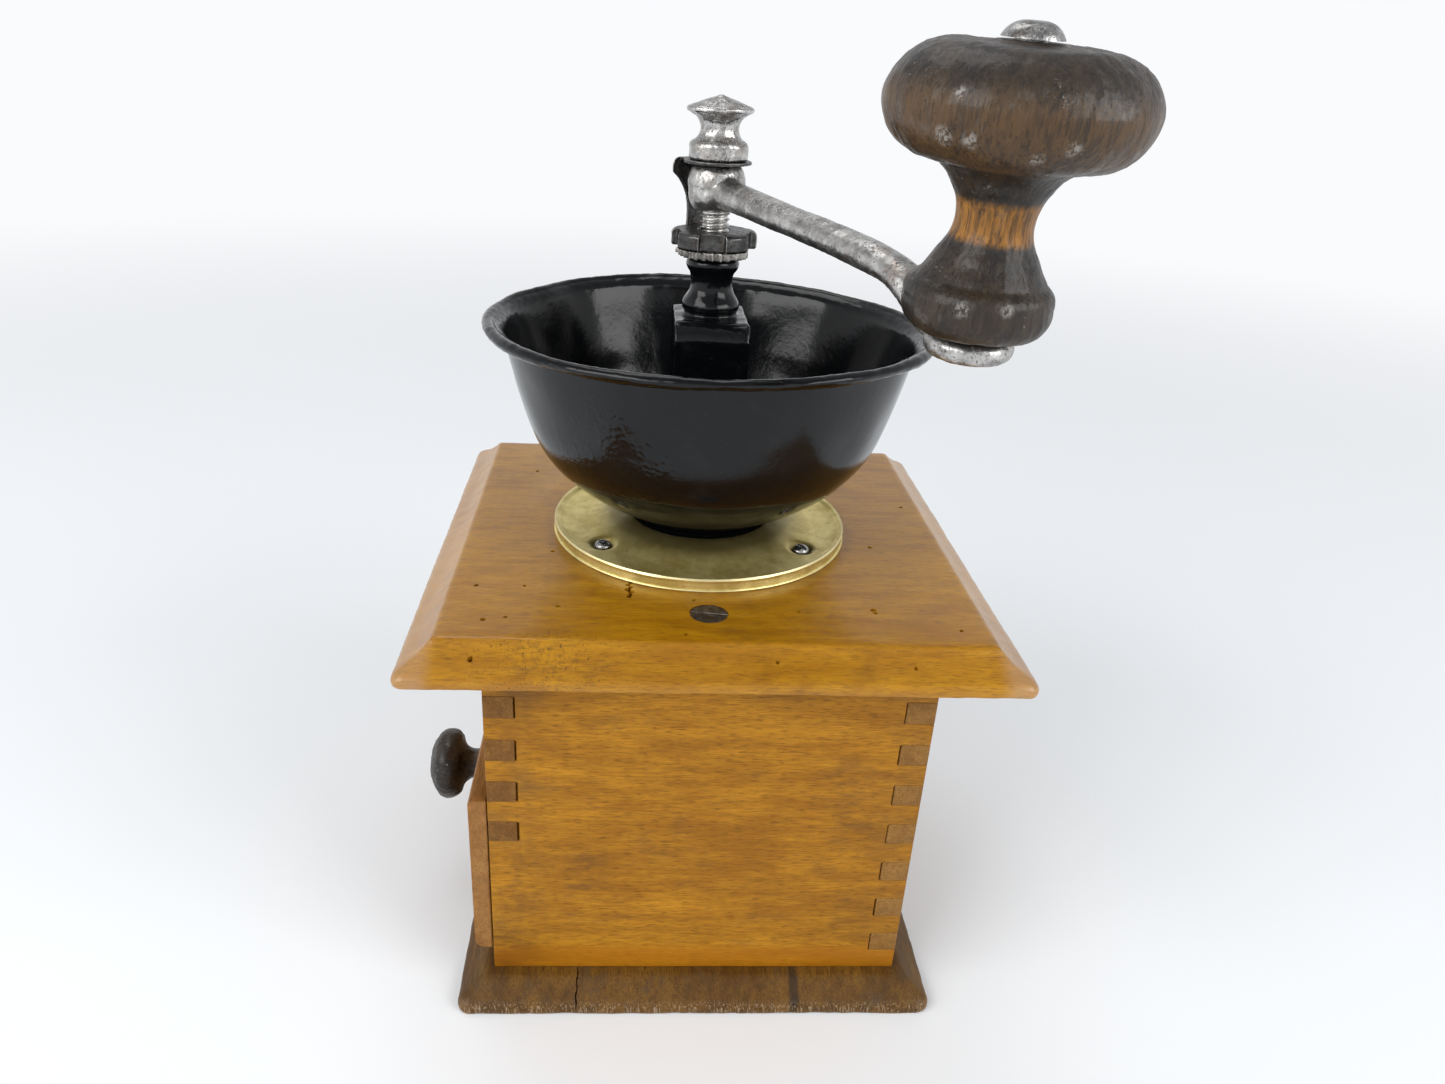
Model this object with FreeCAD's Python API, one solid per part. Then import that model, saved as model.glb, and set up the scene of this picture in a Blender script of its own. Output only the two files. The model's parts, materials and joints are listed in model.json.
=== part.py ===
"""Hand crank coffee grinder: wooden box with a drawer, iron bowl, burr mill and crank.

Millimetres, +Z up. The origin is on the spindle's axis, in the plane that the base rests on.
The drawer opens towards -Y. The two long side walls face +X and -X.
"""
import FreeCAD, Part
import math
import os

V = FreeCAD.Vector
UP = V(0, 0, 1)

# ---------------------------------------------------------------- wooden box
BOX_X, BOX_Y = 118.0, 120.0      # outside of the four walls
BOX_CY = 2.0                     # the box's middle is 2 mm behind the spindle
WALL_T = 8.0
BASE_T, BASE_OVER = 8.4, 10.4    # base board and how far it stands out past the walls
BASE_EDGE, BASE_BEVEL = 3.2, 7.9
TOP_T, TOP_OVER = 9.6, 18.8
TOP_NOSE, TOP_BEVEL = 2.4, 9.4
FINGER_COUNT = 16                # fingers and gaps up one corner
FINGER_H = 6.85
WALL_H = FINGER_COUNT * FINGER_H
WALL_Z = BASE_T                  # walls stand on the base
TOP_Z = WALL_Z + WALL_H          # underside of the top board
DECK_Z = TOP_Z + TOP_T           # upper face of the top board
FRONT_FINGERS = 9                # fingers and gaps of the short front board
FRONT_Z = TOP_Z - FRONT_FINGERS * FINGER_H
FRONT_Y = BOX_CY - BOX_Y / 2     # front plane of the walls
BACK_Y = BOX_CY + BOX_Y / 2
PLAN_R = 2.5                     # rounding of the boards' corners seen from above

# ---------------------------------------------------------------- drawer
SLIP = 0.4                       # play of the drawer in its opening
DRAWER_Z = BASE_T + 0.15         # underside of the drawer
PLUG_Y = FRONT_Y - 0.3           # back of the drawer's lip, just clear of the walls
LIP_T, PLUG_T = 5.0, 6.0         # overlapping lip and the part of the front inside the opening
LIP_TOP_Z = FRONT_Z + 2 * FINGER_H
LIP_BOTTOM_Z = BASE_T + 8.0
LIP_R = 3.0
DRAWER_DEPTH = 103.0             # from the plug's back to the drawer's back
DRAWER_SIDE_T = 6.0
DRAWER_BOTTOM_T = 3.0
DRAWER_SIDE_H = 42.0
GROOVE_UP, GROOVE_D = 3.0, 2.5    # groove in the sides that holds the bottom
PULL_Z = 38.2
PULL_LENGTH = 22.0
NAIL_R, NAIL_L = 0.6, 14.0
NAIL_HEIGHTS = (12.0, 24.0, 36.0)

# ---------------------------------------------------------------- mill body
SPINDLE_R = 4.0
BEARING_PLAY = 0.05
BRIDGE_X, BRIDGE_Y = 30.0, 20.0  # bridge seen from above
BRIDGE_TOP_Z = 191.9
BRIDGE_SHOULDER_R = 5.0
LEG_T = 5.0
ARCH_TOP_Z = 182.0
COLUMN_TOP_Z = 207.4
THROAT_R, THROAT_OUT_R = 18.4, 21.0
THROAT_LOW_R, THROAT_LOW_Z = 15.9, 107.0
MILL_FLANGE_R, MILL_FLANGE_T = 38.0, 5.5
MILL_BODY_R, MILL_BOTTOM_Z = 25.0, 84.0
BURR_SEAT_R = 20.0
BURR_TEETH = 24
OUTER_BURR_TOP_Z, OUTER_BURR_LOW_Z = 106.0, 84.6
INNER_BURR_TOP_Z, INNER_BURR_MID_Z, INNER_BURR_LOW_Z = 109.0, 98.0, 85.8
BREAKER_FLUTES = 6
BURR_SQUARE = 6.3
BURR_PIN_R = 0.8
FOOT_R = 3.0
FLANGE_SCREW_R, FLANGE_SCREW_AT = 1.6, 34.5
FLANGE_SCREW_ANGLES = (55.0, 125.0, 235.0, 305.0)

# ---------------------------------------------------------------- bowl and flange ring
RING_R, RING_BORE_R = 43.3, 19.9
RING_RECESS_R, RING_RECESS_D = 27.3, 1.1
BOWL_T = 1.0
BOWL_NECK_R = 19.6
BOWL_FOOT_R = 27.0
RIM_R, RIM_Z, RIM_BEAD_R = 60.3, 189.3, 1.6

# ---------------------------------------------------------------- crank
CRANK_ANGLE = 24.4               # direction of the arm at rest, from +X
CRANK_R = 103.7                  # spindle to knob
CRANK_SQUARE = 5.6
SQUARE_ANGLE = 30.0              # the spindle's square, from +X
EYE_LOW_Z, EYE_TOP_Z, EYE_R = 219.4, 230.8, 7.3
BOSS_R, BOSS_T = 8.6, 4.4
BOSS_TOP_Z = 211.6               # on the knob's axis
KNOB_LEAN = 4.0                  # the knob's pin leans outward by this angle
KNOB_GAP = 0.3
PIN_R = 3.0
NUT_LOW_Z, NUT_TOP_Z, NUT_R, NUT_FLOOR_R = 209.75, 214.4, 11.5, 9.3
NUT_NOTCHES, NUT_NOTCH_W, NUT_ANGLE = 5, 7.4, -6.0
WASHER_LOW_Z, WASHER_TOP_Z = 207.45, 209.6
PLATE_T, PLATE_Z, PLATE_AT = 0.8, 230.9, 9.6
PLATE_ANGLE = SQUARE_ANGLE + 180
FINIAL_LOW_Z = PLATE_Z + PLATE_T + 0.05

# ---------------------------------------------------------------- screws
SCREW_SINK, SCREW_PLAY = 0.2, 0.05
CROWN_R = 0.5                    # flat left in the middle of each turned crown
# head radius, shank radius, the head's thickness, length
TOP_SCREW = (4.9, 2.1, 2.8, 24.0)
BASE_SCREW = (3.4, 1.6, 2.2, 24.0)
PULL_SCREW = (4.2, 2.0, 2.6, 22.0)
TOP_SCREW_TURN = 82.0                            # direction of their slots, from +X

NODES = {}


# ---------------------------------------------------------------- helpers
def box(x0, x1, y0, y1, z0, z1):
    return Part.makeBox(x1 - x0, y1 - y0, z1 - z0, V(x0, y0, z0))


def rod(r, z0, z1, x=0.0, y=0.0):
    return Part.makeCylinder(r, z1 - z0, V(x, y, z0), UP)


def cone(r0, r1, z0, z1, x=0.0, y=0.0):
    return Part.makeCone(r0, r1, z1 - z0, V(x, y, z0), UP)


def polar(r, degrees, z=0.0):
    a = math.radians(degrees)
    return V(r * math.cos(a), r * math.sin(a), z)


def turned(outline):
    """Solid of revolution about Z. outline holds (radius, z) points and ("arc", middle, end)."""
    edges = []
    here = V(outline[0][0], 0, outline[0][1])
    start = here
    for step in outline[1:]:
        if step[0] == "arc":
            middle, end = (V(p[0], 0, p[1]) for p in step[1:])
            edges.append(Part.Arc(here, middle, end).toShape())
        else:
            end = V(step[0], 0, step[1])
            edges.append(Part.makeLine(here, end))
        here = end
    if here.distanceToPoint(start) > 1e-6:
        edges.append(Part.makeLine(here, start))
    return Part.Face(Part.Wire(edges)).revolve(V(0, 0, 0), UP, 360)


def fuse(first, *others):
    return first.fuse(list(others)).removeSplitter()


def cut(solid, *tools):
    return solid.cut(list(tools))


def spun(shape, degrees):
    copy = shape.copy()
    copy.rotate(V(0, 0, 0), UP, degrees)
    return copy


def moved(shape, x, y, z):
    copy = shape.copy()
    copy.translate(V(x, y, z))
    return copy


def ring_of(shape, count, first=0.0):
    return [spun(shape, first + 360.0 * i / count) for i in range(count)]


def edges_along(shape, direction, test=lambda middle: True):
    """Straight edges parallel to a direction whose middle point passes a test."""
    picked = []
    for edge in shape.Edges:
        if edge.Curve.TypeId != "Part::GeomLine":
            continue
        a, b = edge.Vertexes[0].Point, edge.Vertexes[-1].Point
        if (b - a).cross(direction).Length < 1e-6 * edge.Length and test((a + b) * 0.5):
            picked.append(edge)
    return picked


def screw(size, slot_w):
    """Slotted countersunk wood screw, pointing down, its head just below z=0."""
    head_r, shank_r, head_t, length = size
    body = turned([(0, 0), (head_r, 0), (head_r, -0.3), (shank_r, -head_t),
                   (shank_r, -length + 2 * shank_r), (0, -length)])
    slot = box(-head_r, head_r, -slot_w / 2, slot_w / 2, -0.9, 1)
    return moved(cut(body, slot), 0, 0, -SCREW_SINK)


def screw_hole(size):
    """The space that such a screw takes up, with a little play round it."""
    head_r, shank_r, head_t, length = size
    r, neck = head_r + SCREW_PLAY, shank_r + SCREW_PLAY
    return moved(turned([(0, 1), (r, 1), (r, -0.3 - SCREW_PLAY), (neck, -head_t - SCREW_PLAY),
                         (neck, -length - 1), (0, -length - 1)]), 0, 0, -SCREW_SINK)


def turned_over(shape):
    return shape.mirror(V(0, 0, 0), UP)


# ---------------------------------------------------------------- wooden box
def moulded_board(size_x, size_y, thickness, outline):
    """Board whose four edges share one outline of (inset, height) points, mitred at the corners."""
    def prism(half, long_half, along_x):
        def at(inset, height, side):
            across = side * (half - inset)
            return V(-long_half, across, height) if along_x else V(across, -long_half, height)
        edges = []
        for side in (1, -1):
            here = at(outline[0][0], outline[0][1], side)
            for step in outline[1:]:
                if step[0] == "arc":
                    middle, end = (at(p[0], p[1], side) for p in step[1:])
                    edges.append(Part.Arc(here, middle, end).toShape())
                else:
                    end = at(step[0], step[1], side)
                    edges.append(Part.makeLine(here, end))
                here = end
            top = here
            edges.append(Part.makeLine(top, V(0, top.y if along_x else 0, 0) + V(
                -long_half if along_x else 0, 0 if along_x else -long_half, 0) + V(
                0, -top.y if along_x else 0, top.z)))
        edges.append(Part.makeLine(at(outline[0][0], outline[0][1], 1),
                                   at(outline[0][0], outline[0][1], -1)))
        face = Part.Face(Part.Wire(Part.__sortEdges__(edges)))
        return face.extrude(V(2 * long_half, 0, 0) if along_x else V(0, 2 * long_half, 0))
    along_y = prism(size_x / 2, size_y / 2, False)
    along_x = prism(size_y / 2, size_x / 2, True)
    outer = box(-size_x / 2, size_x / 2, -size_y / 2, size_y / 2, 0, thickness)
    outer = outer.makeFillet(PLAN_R, edges_along(outer, UP))
    return moved(along_y.common(along_x).common(outer), 0, BOX_CY, 0)


def base_plate():
    board = moulded_board(BOX_X + 2 * BASE_OVER, BOX_Y + 2 * BASE_OVER, BASE_T, [
        (0.6, 0), (0, 0.6), (0, BASE_EDGE - 0.8),
        ("arc", (0.25, BASE_EDGE), (1.1, BASE_EDGE + 0.7)),
        (BASE_BEVEL, BASE_T)])
    holes = [moved(turned_over(screw_hole(BASE_SCREW)), x, y, 0) for x, y in base_screw_places()]
    return cut(board, *holes)


def base_screw_places():
    x = BOX_X / 2 - WALL_T / 2
    return [(sx * x, BOX_CY + sy * 38.0) for sx in (1, -1) for sy in (1, -1)]


def base_screws():
    one = turned_over(screw(BASE_SCREW, 0.8))
    return [moved(one, x, y, 0) for x, y in base_screw_places()]


def top_plate():
    bevel_z = TOP_T - TOP_NOSE
    board = moulded_board(BOX_X + 2 * TOP_OVER, BOX_Y + 2 * TOP_OVER, TOP_T, [
        (0.7, 0), (0, 0.7), (0, TOP_NOSE - 0.6),
        ("arc", (0.45, TOP_NOSE + 0.7), (1.6, TOP_NOSE + 1.4)),
        ("arc", (TOP_BEVEL * 0.52, TOP_NOSE + bevel_z * 0.42), (TOP_BEVEL - 1.1, TOP_T - 1.0)),
        ("arc", (TOP_BEVEL - 0.75, TOP_T - 0.25), (TOP_BEVEL, TOP_T))])
    board = moved(board, 0, 0, TOP_Z)
    holes = [rod(THROAT_OUT_R + 0.5, TOP_Z - 1, DECK_Z + 1)]
    holes += [moved(screw_hole(TOP_SCREW), x, 0, DECK_Z) for x in top_screw_places()]
    holes += [rod(FLANGE_SCREW_R + 0.1, TOP_Z - 1, DECK_Z + 1, p.x, p.y) for p in flange_screw_places()]
    return cut(board, *holes)


def top_screw_places():
    x = BOX_X / 2 - WALL_T / 2 - 0.6
    return [x, -x]


def top_plate_screws():
    one = spun(screw(TOP_SCREW, 1.1), TOP_SCREW_TURN)
    return [moved(one, x, 0, DECK_Z) for x in top_screw_places()]


def finger_slots(outer_x, y0, y1, first, count):
    """Blocks in one wall end, taken out or left in, counted down from the walls' top edge."""
    x0, x1 = sorted((outer_x, outer_x - math.copysign(WALL_T, outer_x)))
    return [box(x0, x1, y0, y1, TOP_Z - (i + 1) * FINGER_H, TOP_Z - i * FINGER_H)
            for i in range(first, count, 2)]


def side_wall(side):
    outer_x = side * BOX_X / 2
    x0, x1 = sorted((outer_x, outer_x - side * WALL_T))
    wall = box(x0, x1, FRONT_Y, BACK_Y, WALL_Z, TOP_Z)
    wall = cut(wall, *finger_slots(outer_x, BACK_Y - WALL_T, BACK_Y, 0, FINGER_COUNT),
               *finger_slots(outer_x, FRONT_Y, FRONT_Y + WALL_T, 0, FRONT_FINGERS))
    top_x = top_screw_places()[0] * side
    holes = [moved(screw_hole(TOP_SCREW), top_x, 0, DECK_Z)]
    holes += [moved(turned_over(screw_hole(BASE_SCREW)), x, y, 0)
              for x, y in base_screw_places() if x * side > 0]
    return cut(wall, *holes)


def cross_wall(outer_y, sign, low_z, steps):
    """Front or back board: between the side walls, with fingers through them at both ends."""
    y0, y1 = sorted((outer_y, outer_y - sign * WALL_T))
    inside = BOX_X / 2 - WALL_T
    wall = box(-inside, inside, y0, y1, low_z, TOP_Z)
    fingers = []
    for outer_x in (BOX_X / 2, -BOX_X / 2):
        fingers += finger_slots(outer_x, y0, y1, 0, steps)
    return fuse(wall, *fingers)


# ---------------------------------------------------------------- drawer
def drawer_front():
    half = BOX_X / 2
    lip = box(-half, half, PLUG_Y - LIP_T, PLUG_Y, LIP_BOTTOM_Z, LIP_TOP_Z)
    front_edge = lambda m: m.y < PLUG_Y - LIP_T + 0.01
    low = edges_along(lip, V(1, 0, 0), lambda m: front_edge(m) and m.z < LIP_BOTTOM_Z + 0.01)
    lip = lip.makeFillet(LIP_R, low)
    rest = edges_along(lip, V(1, 0, 0), lambda m: front_edge(m) and m.z > LIP_TOP_Z - 0.01)
    lip = lip.makeFillet(1.0, rest)
    inside = BOX_X / 2 - WALL_T - SLIP
    plug = box(-inside, inside, PLUG_Y - 0.5, PLUG_Y + PLUG_T, DRAWER_Z, FRONT_Z - SLIP)
    return cut(fuse(lip, plug), pull_screw_place(screw_hole(PULL_SCREW)))


def pull_screw_place(shape):
    """Lay a screw, or its hole, along -Y through the drawer's front from the inside."""
    copy = shape.copy()
    copy.rotate(V(0, 0, 0), V(1, 0, 0), -90)
    return moved(copy, 0, PLUG_Y + PLUG_T, PULL_Z)


def drawer_nail_rods(r):
    outer = BOX_X / 2 - WALL_T - SLIP
    y = PLUG_Y + PLUG_T + DRAWER_DEPTH - DRAWER_SIDE_T / 2
    return [Part.makeCylinder(r, NAIL_L, V(side * (outer - 0.1), y, BASE_T + z), V(-side, 0, 0))
            for side in (1, -1) for z in NAIL_HEIGHTS]


def drawer_side(side):
    outer = side * (BOX_X / 2 - WALL_T - SLIP)
    x0, x1 = sorted((outer, outer - side * DRAWER_SIDE_T))
    y0 = PLUG_Y + PLUG_T
    wall = box(x0, x1, y0, y0 + DRAWER_DEPTH, DRAWER_Z, DRAWER_Z + DRAWER_SIDE_H)
    groove_x = outer - side * DRAWER_SIDE_T
    g0, g1 = sorted((groove_x - side, groove_x + side * GROOVE_D))
    z = DRAWER_Z + GROOVE_UP
    groove = box(g0, g1, y0 - 1, y0 + DRAWER_DEPTH - DRAWER_SIDE_T, z, z + DRAWER_BOTTOM_T)
    return cut(wall, groove, *drawer_nail_rods(NAIL_R + 0.03))


def drawer_back():
    inside = BOX_X / 2 - WALL_T - SLIP - DRAWER_SIDE_T
    y1 = PLUG_Y + PLUG_T + DRAWER_DEPTH
    wall = box(-inside, inside, y1 - DRAWER_SIDE_T, y1, DRAWER_Z, DRAWER_Z + DRAWER_SIDE_H)
    return cut(wall, *drawer_nail_rods(NAIL_R + 0.03))


def drawer_bottom():
    inside = BOX_X / 2 - WALL_T - SLIP - DRAWER_SIDE_T + GROOVE_D - 0.1
    y0 = PLUG_Y + PLUG_T
    z = DRAWER_Z + GROOVE_UP
    return box(-inside, inside, y0 + 0.05, y0 + DRAWER_DEPTH - DRAWER_SIDE_T - 0.05,
               z + 0.05, z + DRAWER_BOTTOM_T - 0.05)


def drawer_nails():
    """Round brads through the drawer's sides into its back."""
    return drawer_nail_rods(NAIL_R)


def drawer_pull():
    """Turned knob; made standing up and then laid along -Y, its seat on the drawer's front."""
    knob = turned([(0, 0), (6.6, 0), ("arc", (5.2, 2.6), (5.0, 6.0)),
                   ("arc", (6.2, 10.0), (9.4, 11.6)), ("arc", (11.75, 15.2), (9.0, 19.6)),
                   ("arc", (5.0, 21.5), (CROWN_R, PULL_LENGTH)), (0, PULL_LENGTH)])
    knob = cut(knob, rod(PULL_SCREW[1] + SCREW_PLAY, -1, 13))
    knob.rotate(V(0, 0, 0), V(1, 0, 0), 90)
    return moved(knob, 0, PLUG_Y - LIP_T, PULL_Z)


def drawer_pull_screw():
    return pull_screw_place(screw(PULL_SCREW, 1.0))


# ---------------------------------------------------------------- mill
def flange_screw_places():
    return [polar(FLANGE_SCREW_AT, a) for a in FLANGE_SCREW_ANGLES]


def burr_star(tip_r, root_r, z, teeth, lead):
    """Closed ring of straight edges with saw teeth; lead is where in its pitch each tip stands."""
    points = []
    for i in range(teeth):
        points.append(polar(root_r, 360.0 * i / teeth, z))
        points.append(polar(tip_r, 360.0 * (i + lead) / teeth, z))
    return Part.makePolygon(points + [points[0]])


def square_bar(side, z0, z1, degrees):
    return spun(box(-side / 2, side / 2, -side / 2, side / 2, z0, z1), degrees)


def mill_frame():
    """One casting: column, bridge and its two legs, throat, flange and the burr's housing."""
    column = turned([
        (0, BRIDGE_TOP_Z - 2), (7.0, BRIDGE_TOP_Z - 2), (7.0, BRIDGE_TOP_Z + 0.6),
        ("arc", (7.9, BRIDGE_TOP_Z + 2.2), (7.6, BRIDGE_TOP_Z + 3.8)),
        (5.95, 198.2), ("arc", (5.7, 200.8), (5.95, 203.4)),
        ("arc", (7.2, 205.5), (6.3, COLUMN_TOP_Z)), (0, COLUMN_TOP_Z)])
    half_x, half_y = BRIDGE_X / 2, BRIDGE_Y / 2
    bridge = box(-half_x, half_x, -half_y, half_y, THROAT_LOW_Z, BRIDGE_TOP_Z)
    shoulders = edges_along(bridge, V(0, 1, 0), lambda m: m.z > BRIDGE_TOP_Z - 0.01)
    bridge = bridge.makeFillet(BRIDGE_SHOULDER_R, shoulders)
    arch = box(-half_x + LEG_T, half_x - LEG_T, -half_y - 1, half_y + 1, THROAT_LOW_Z - 1, ARCH_TOP_Z)
    crown = edges_along(arch, V(0, 1, 0), lambda m: m.z > ARCH_TOP_Z - 0.01)
    arch = arch.makeFillet(4.0, crown)
    bridge = cut(bridge, arch)
    low_z = TOP_Z - MILL_FLANGE_T
    throat = fuse(rod(THROAT_OUT_R, low_z, DECK_Z - 0.6), rod(MILL_FLANGE_R, low_z, TOP_Z),
                  rod(MILL_BODY_R, MILL_BOTTOM_Z, low_z + 1))
    throat = cut(throat, cone(THROAT_LOW_R, THROAT_R, THROAT_LOW_Z, DECK_Z - 0.6),
                 rod(THROAT_LOW_R, OUTER_BURR_TOP_Z - 1, THROAT_LOW_Z),
                 rod(BURR_SEAT_R, MILL_BOTTOM_Z - 1, OUTER_BURR_TOP_Z))
    casting = fuse(throat, bridge, column)
    bores = [rod(SPINDLE_R + BEARING_PLAY, ARCH_TOP_Z - 5, COLUMN_TOP_Z + 1)]
    bores += [rod(FLANGE_SCREW_R, low_z - 1, TOP_Z + 1, p.x, p.y) for p in flange_screw_places()]
    bores += [rod(1.25, MILL_BOTTOM_Z - 1, MILL_BOTTOM_Z + 9, x, 0) for x in bearing_screw_places()]
    return cut(casting, *bores)


def outer_burr():
    low_z, top_z = OUTER_BURR_LOW_Z, OUTER_BURR_TOP_Z - 0.05
    mouth = Part.makeLoft([burr_star(16.2, 17.2, low_z, BURR_TEETH, 0.25),
                           burr_star(15.5, 17.4, top_z, BURR_TEETH, 0.25)], True, True)
    return cut(rod(BURR_SEAT_R - 0.05, low_z, top_z), mouth)


def inner_burr():
    grinding = Part.makeLoft([burr_star(15.7, 14.9, INNER_BURR_LOW_Z, BURR_TEETH, 0.75),
                              burr_star(12.6, 11.6, INNER_BURR_MID_Z, BURR_TEETH, 0.75)], True, True)
    breaking = Part.makeLoft([burr_star(12.6, 10.2, INNER_BURR_MID_Z, BREAKER_FLUTES, 0.7),
                              burr_star(8.0, 6.2, INNER_BURR_TOP_Z, BREAKER_FLUTES, 0.7)], True, True)
    hub = square_bar(BURR_SQUARE + 0.1, INNER_BURR_LOW_Z - 1, INNER_BURR_TOP_Z + 1, SQUARE_ANGLE)
    return cut(fuse(grinding, breaking), hub)


def bearing_screw_places():
    return (22.6, -22.6)


def lower_bearing():
    """Steel bar across the mill's outlet; the spindle's foot turns in it."""
    z1 = MILL_BOTTOM_Z
    bar = box(-MILL_BODY_R + 0.4, MILL_BODY_R - 0.4, -5, 5, z1 - 3, z1)
    bar = bar.makeFillet(4.5, edges_along(bar, UP))
    holes = [rod(1.35, z1 - 4, z1 + 1, x, 0) for x in bearing_screw_places()]
    return cut(bar, rod(FOOT_R + BEARING_PLAY, z1 - 4, z1 + 1), *holes)


def lower_bearing_screws():
    z = MILL_BOTTOM_Z - 3
    head = turned([(0, -1.8), (1.6, -1.8), ("arc", (2.2, -1.4), (2.4, 0)), (1.2, 0), (1.2, 9), (0, 9)])
    head = cut(head, box(-3, 3, -0.3, 0.3, -2, -0.9))
    return [moved(head, x, 0, z) for x in bearing_screw_places()]


def spindle():
    """Shaft with a foot, a square for the burr under a collar, and a square for the crank."""
    foot_z = INNER_BURR_LOW_Z - 0.4
    body = turned([(0, 77.5), (2.4, 77.5), (FOOT_R, 78.3), (FOOT_R, foot_z), (SPINDLE_R, foot_z),
                   (SPINDLE_R, INNER_BURR_TOP_Z + 0.1), (5.4, INNER_BURR_TOP_Z + 0.1),
                   (5.4, INNER_BURR_TOP_Z + 2.5), (SPINDLE_R, INNER_BURR_TOP_Z + 4.0),
                   (SPINDLE_R, EYE_LOW_Z - 0.2), (0, EYE_LOW_Z - 0.2)])
    body = cut(body, rod(SPINDLE_R + 1, foot_z, INNER_BURR_TOP_Z + 0.1))
    wide = square_bar(BURR_SQUARE, foot_z, INNER_BURR_TOP_Z + 0.5, SQUARE_ANGLE)
    square = square_bar(CRANK_SQUARE, EYE_LOW_Z - 0.3, PLATE_Z + PLATE_T - 0.1, SQUARE_ANGLE)
    tip = turned([(0, EYE_TOP_Z - 1), (2.4, EYE_TOP_Z - 1), (2.4, 238.6), (1.8, 239.2), (0, 239.2)])
    return cut(fuse(body, wide, square, tip), burr_pin_rod(BURR_PIN_R + 0.03))


def burr_pin_rod(r):
    return Part.makeCylinder(r, 15, V(0, -7.5, INNER_BURR_LOW_Z - BURR_PIN_R - 0.05), V(0, 1, 0))


def burr_pin():
    return burr_pin_rod(BURR_PIN_R)


def flange_ring():
    """Spun brass ring with a rounded outer bead and a face that rises towards the bowl's neck."""
    top = DECK_Z
    return cut(turned([
        (RING_BORE_R, top), (RING_R - 0.5, top), ("arc", (RING_R, top + 1.3), (RING_R - 0.3, top + 2.6)),
        ("arc", (RING_R - 2.0, top + 3.9), (RING_R - 3.9, top + 2.9)), (RING_R - 4.6, top + 2.6),
        ("arc", (30.0, top + 3.6), (RING_BORE_R + 1.0, top + 5.2)), (RING_BORE_R, top + 5.0)]),
        rod(RING_RECESS_R, top - 1, top + RING_RECESS_D),
        *[rod(FLANGE_SCREW_R + 0.1, top - 1, top + 9, p.x, p.y) for p in flange_screw_places()],
        *[moved(cone(1.7, 3.3, 1.4, 3.9), p.x, p.y, top) for p in flange_screw_places()])


def flange_screws():
    """Machine screws with sunk, cupped heads; they clamp ring, board and casting together."""
    body = turned([(0, 3.0), (1.4, 3.0), (2.9, 3.3), (FLANGE_SCREW_R, 1.6),
                   (FLANGE_SCREW_R - 0.03, 1.5), (FLANGE_SCREW_R - 0.03, -TOP_T - MILL_FLANGE_T - 2.0),
                   (0, -TOP_T - MILL_FLANGE_T - 2.0)])
    return [moved(body, p.x, p.y, DECK_Z) for p in flange_screw_places()]


def bowl_outline():
    """Outside of the bowl from its neck to the lip, as (radius, z) points of one smooth curve."""
    return [(BOWL_NECK_R, DECK_Z + 5.4), (21.2, 134.9), (27.0, 138.3), (33.6, 142.2), (40.4, 147.6),
            (45.8, 153.6), (49.3, 160.6), (52.1, 170.0), (54.6, 179.6), (56.3, 186.0), (58.9, 189.3)]


def hopper_bowl():
    outer = Part.BSplineCurve()
    outer.interpolate([V(r, 0, z) for r, z in bowl_outline()])
    first, last = outer.FirstParameter, outer.LastParameter
    steps = 24
    inside = []
    for i in range(steps + 1):
        at = first + (last - first) * i / steps
        along = outer.tangent(at)[0]
        inside.append(outer.value(at) + V(-along.z, 0, along.x) * BOWL_T)
    inner = Part.BSplineCurve()
    inner.interpolate(inside)
    lip = Part.makeLine(outer.value(last), inside[-1])
    foot_z = DECK_Z + 0.95
    neck_in = inside[0]
    low = [outer.value(first), V(BOWL_NECK_R, 0, foot_z), V(BOWL_FOOT_R, 0, foot_z),
           V(BOWL_FOOT_R, 0, DECK_Z + 0.05), V(neck_in.x, 0, DECK_Z + 0.05), neck_in]
    edges = [outer.toShape(), inner.toShape(), lip]
    edges += [Part.makeLine(a, b) for a, b in zip(low, low[1:])]
    shell = Part.Face(Part.Wire(Part.__sortEdges__(edges))).revolve(V(0, 0, 0), UP, 360)
    bead = Part.makeTorus(RIM_R, RIM_BEAD_R, V(0, 0, RIM_Z), UP)
    return fuse(shell, bead)


# ---------------------------------------------------------------- crank
def serrated_washer():
    points = []
    teeth = 26
    for i in range(teeth):
        points.append(polar(8.7, 360.0 * i / teeth, WASHER_LOW_Z))
        points.append(polar(9.5, 360.0 * (i + 0.7) / teeth, WASHER_LOW_Z))
    plate = Part.Face(Part.makePolygon(points + [points[0]])).extrude(
        V(0, 0, WASHER_TOP_Z - WASHER_LOW_Z))
    tab_z = WASHER_LOW_Z + 0.4
    tab = Part.Face(Part.makePolygon([polar(8.0, -108, tab_z), polar(10.4, -97, tab_z),
                                      polar(8.0, -86, tab_z), polar(8.0, -108, tab_z)]))
    tab = tab.extrude(V(0, 0, 1.3))
    return cut(fuse(plate, tab), rod(SPINDLE_R + 0.3, WASHER_LOW_Z - 1, WASHER_TOP_Z + 1))


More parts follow.
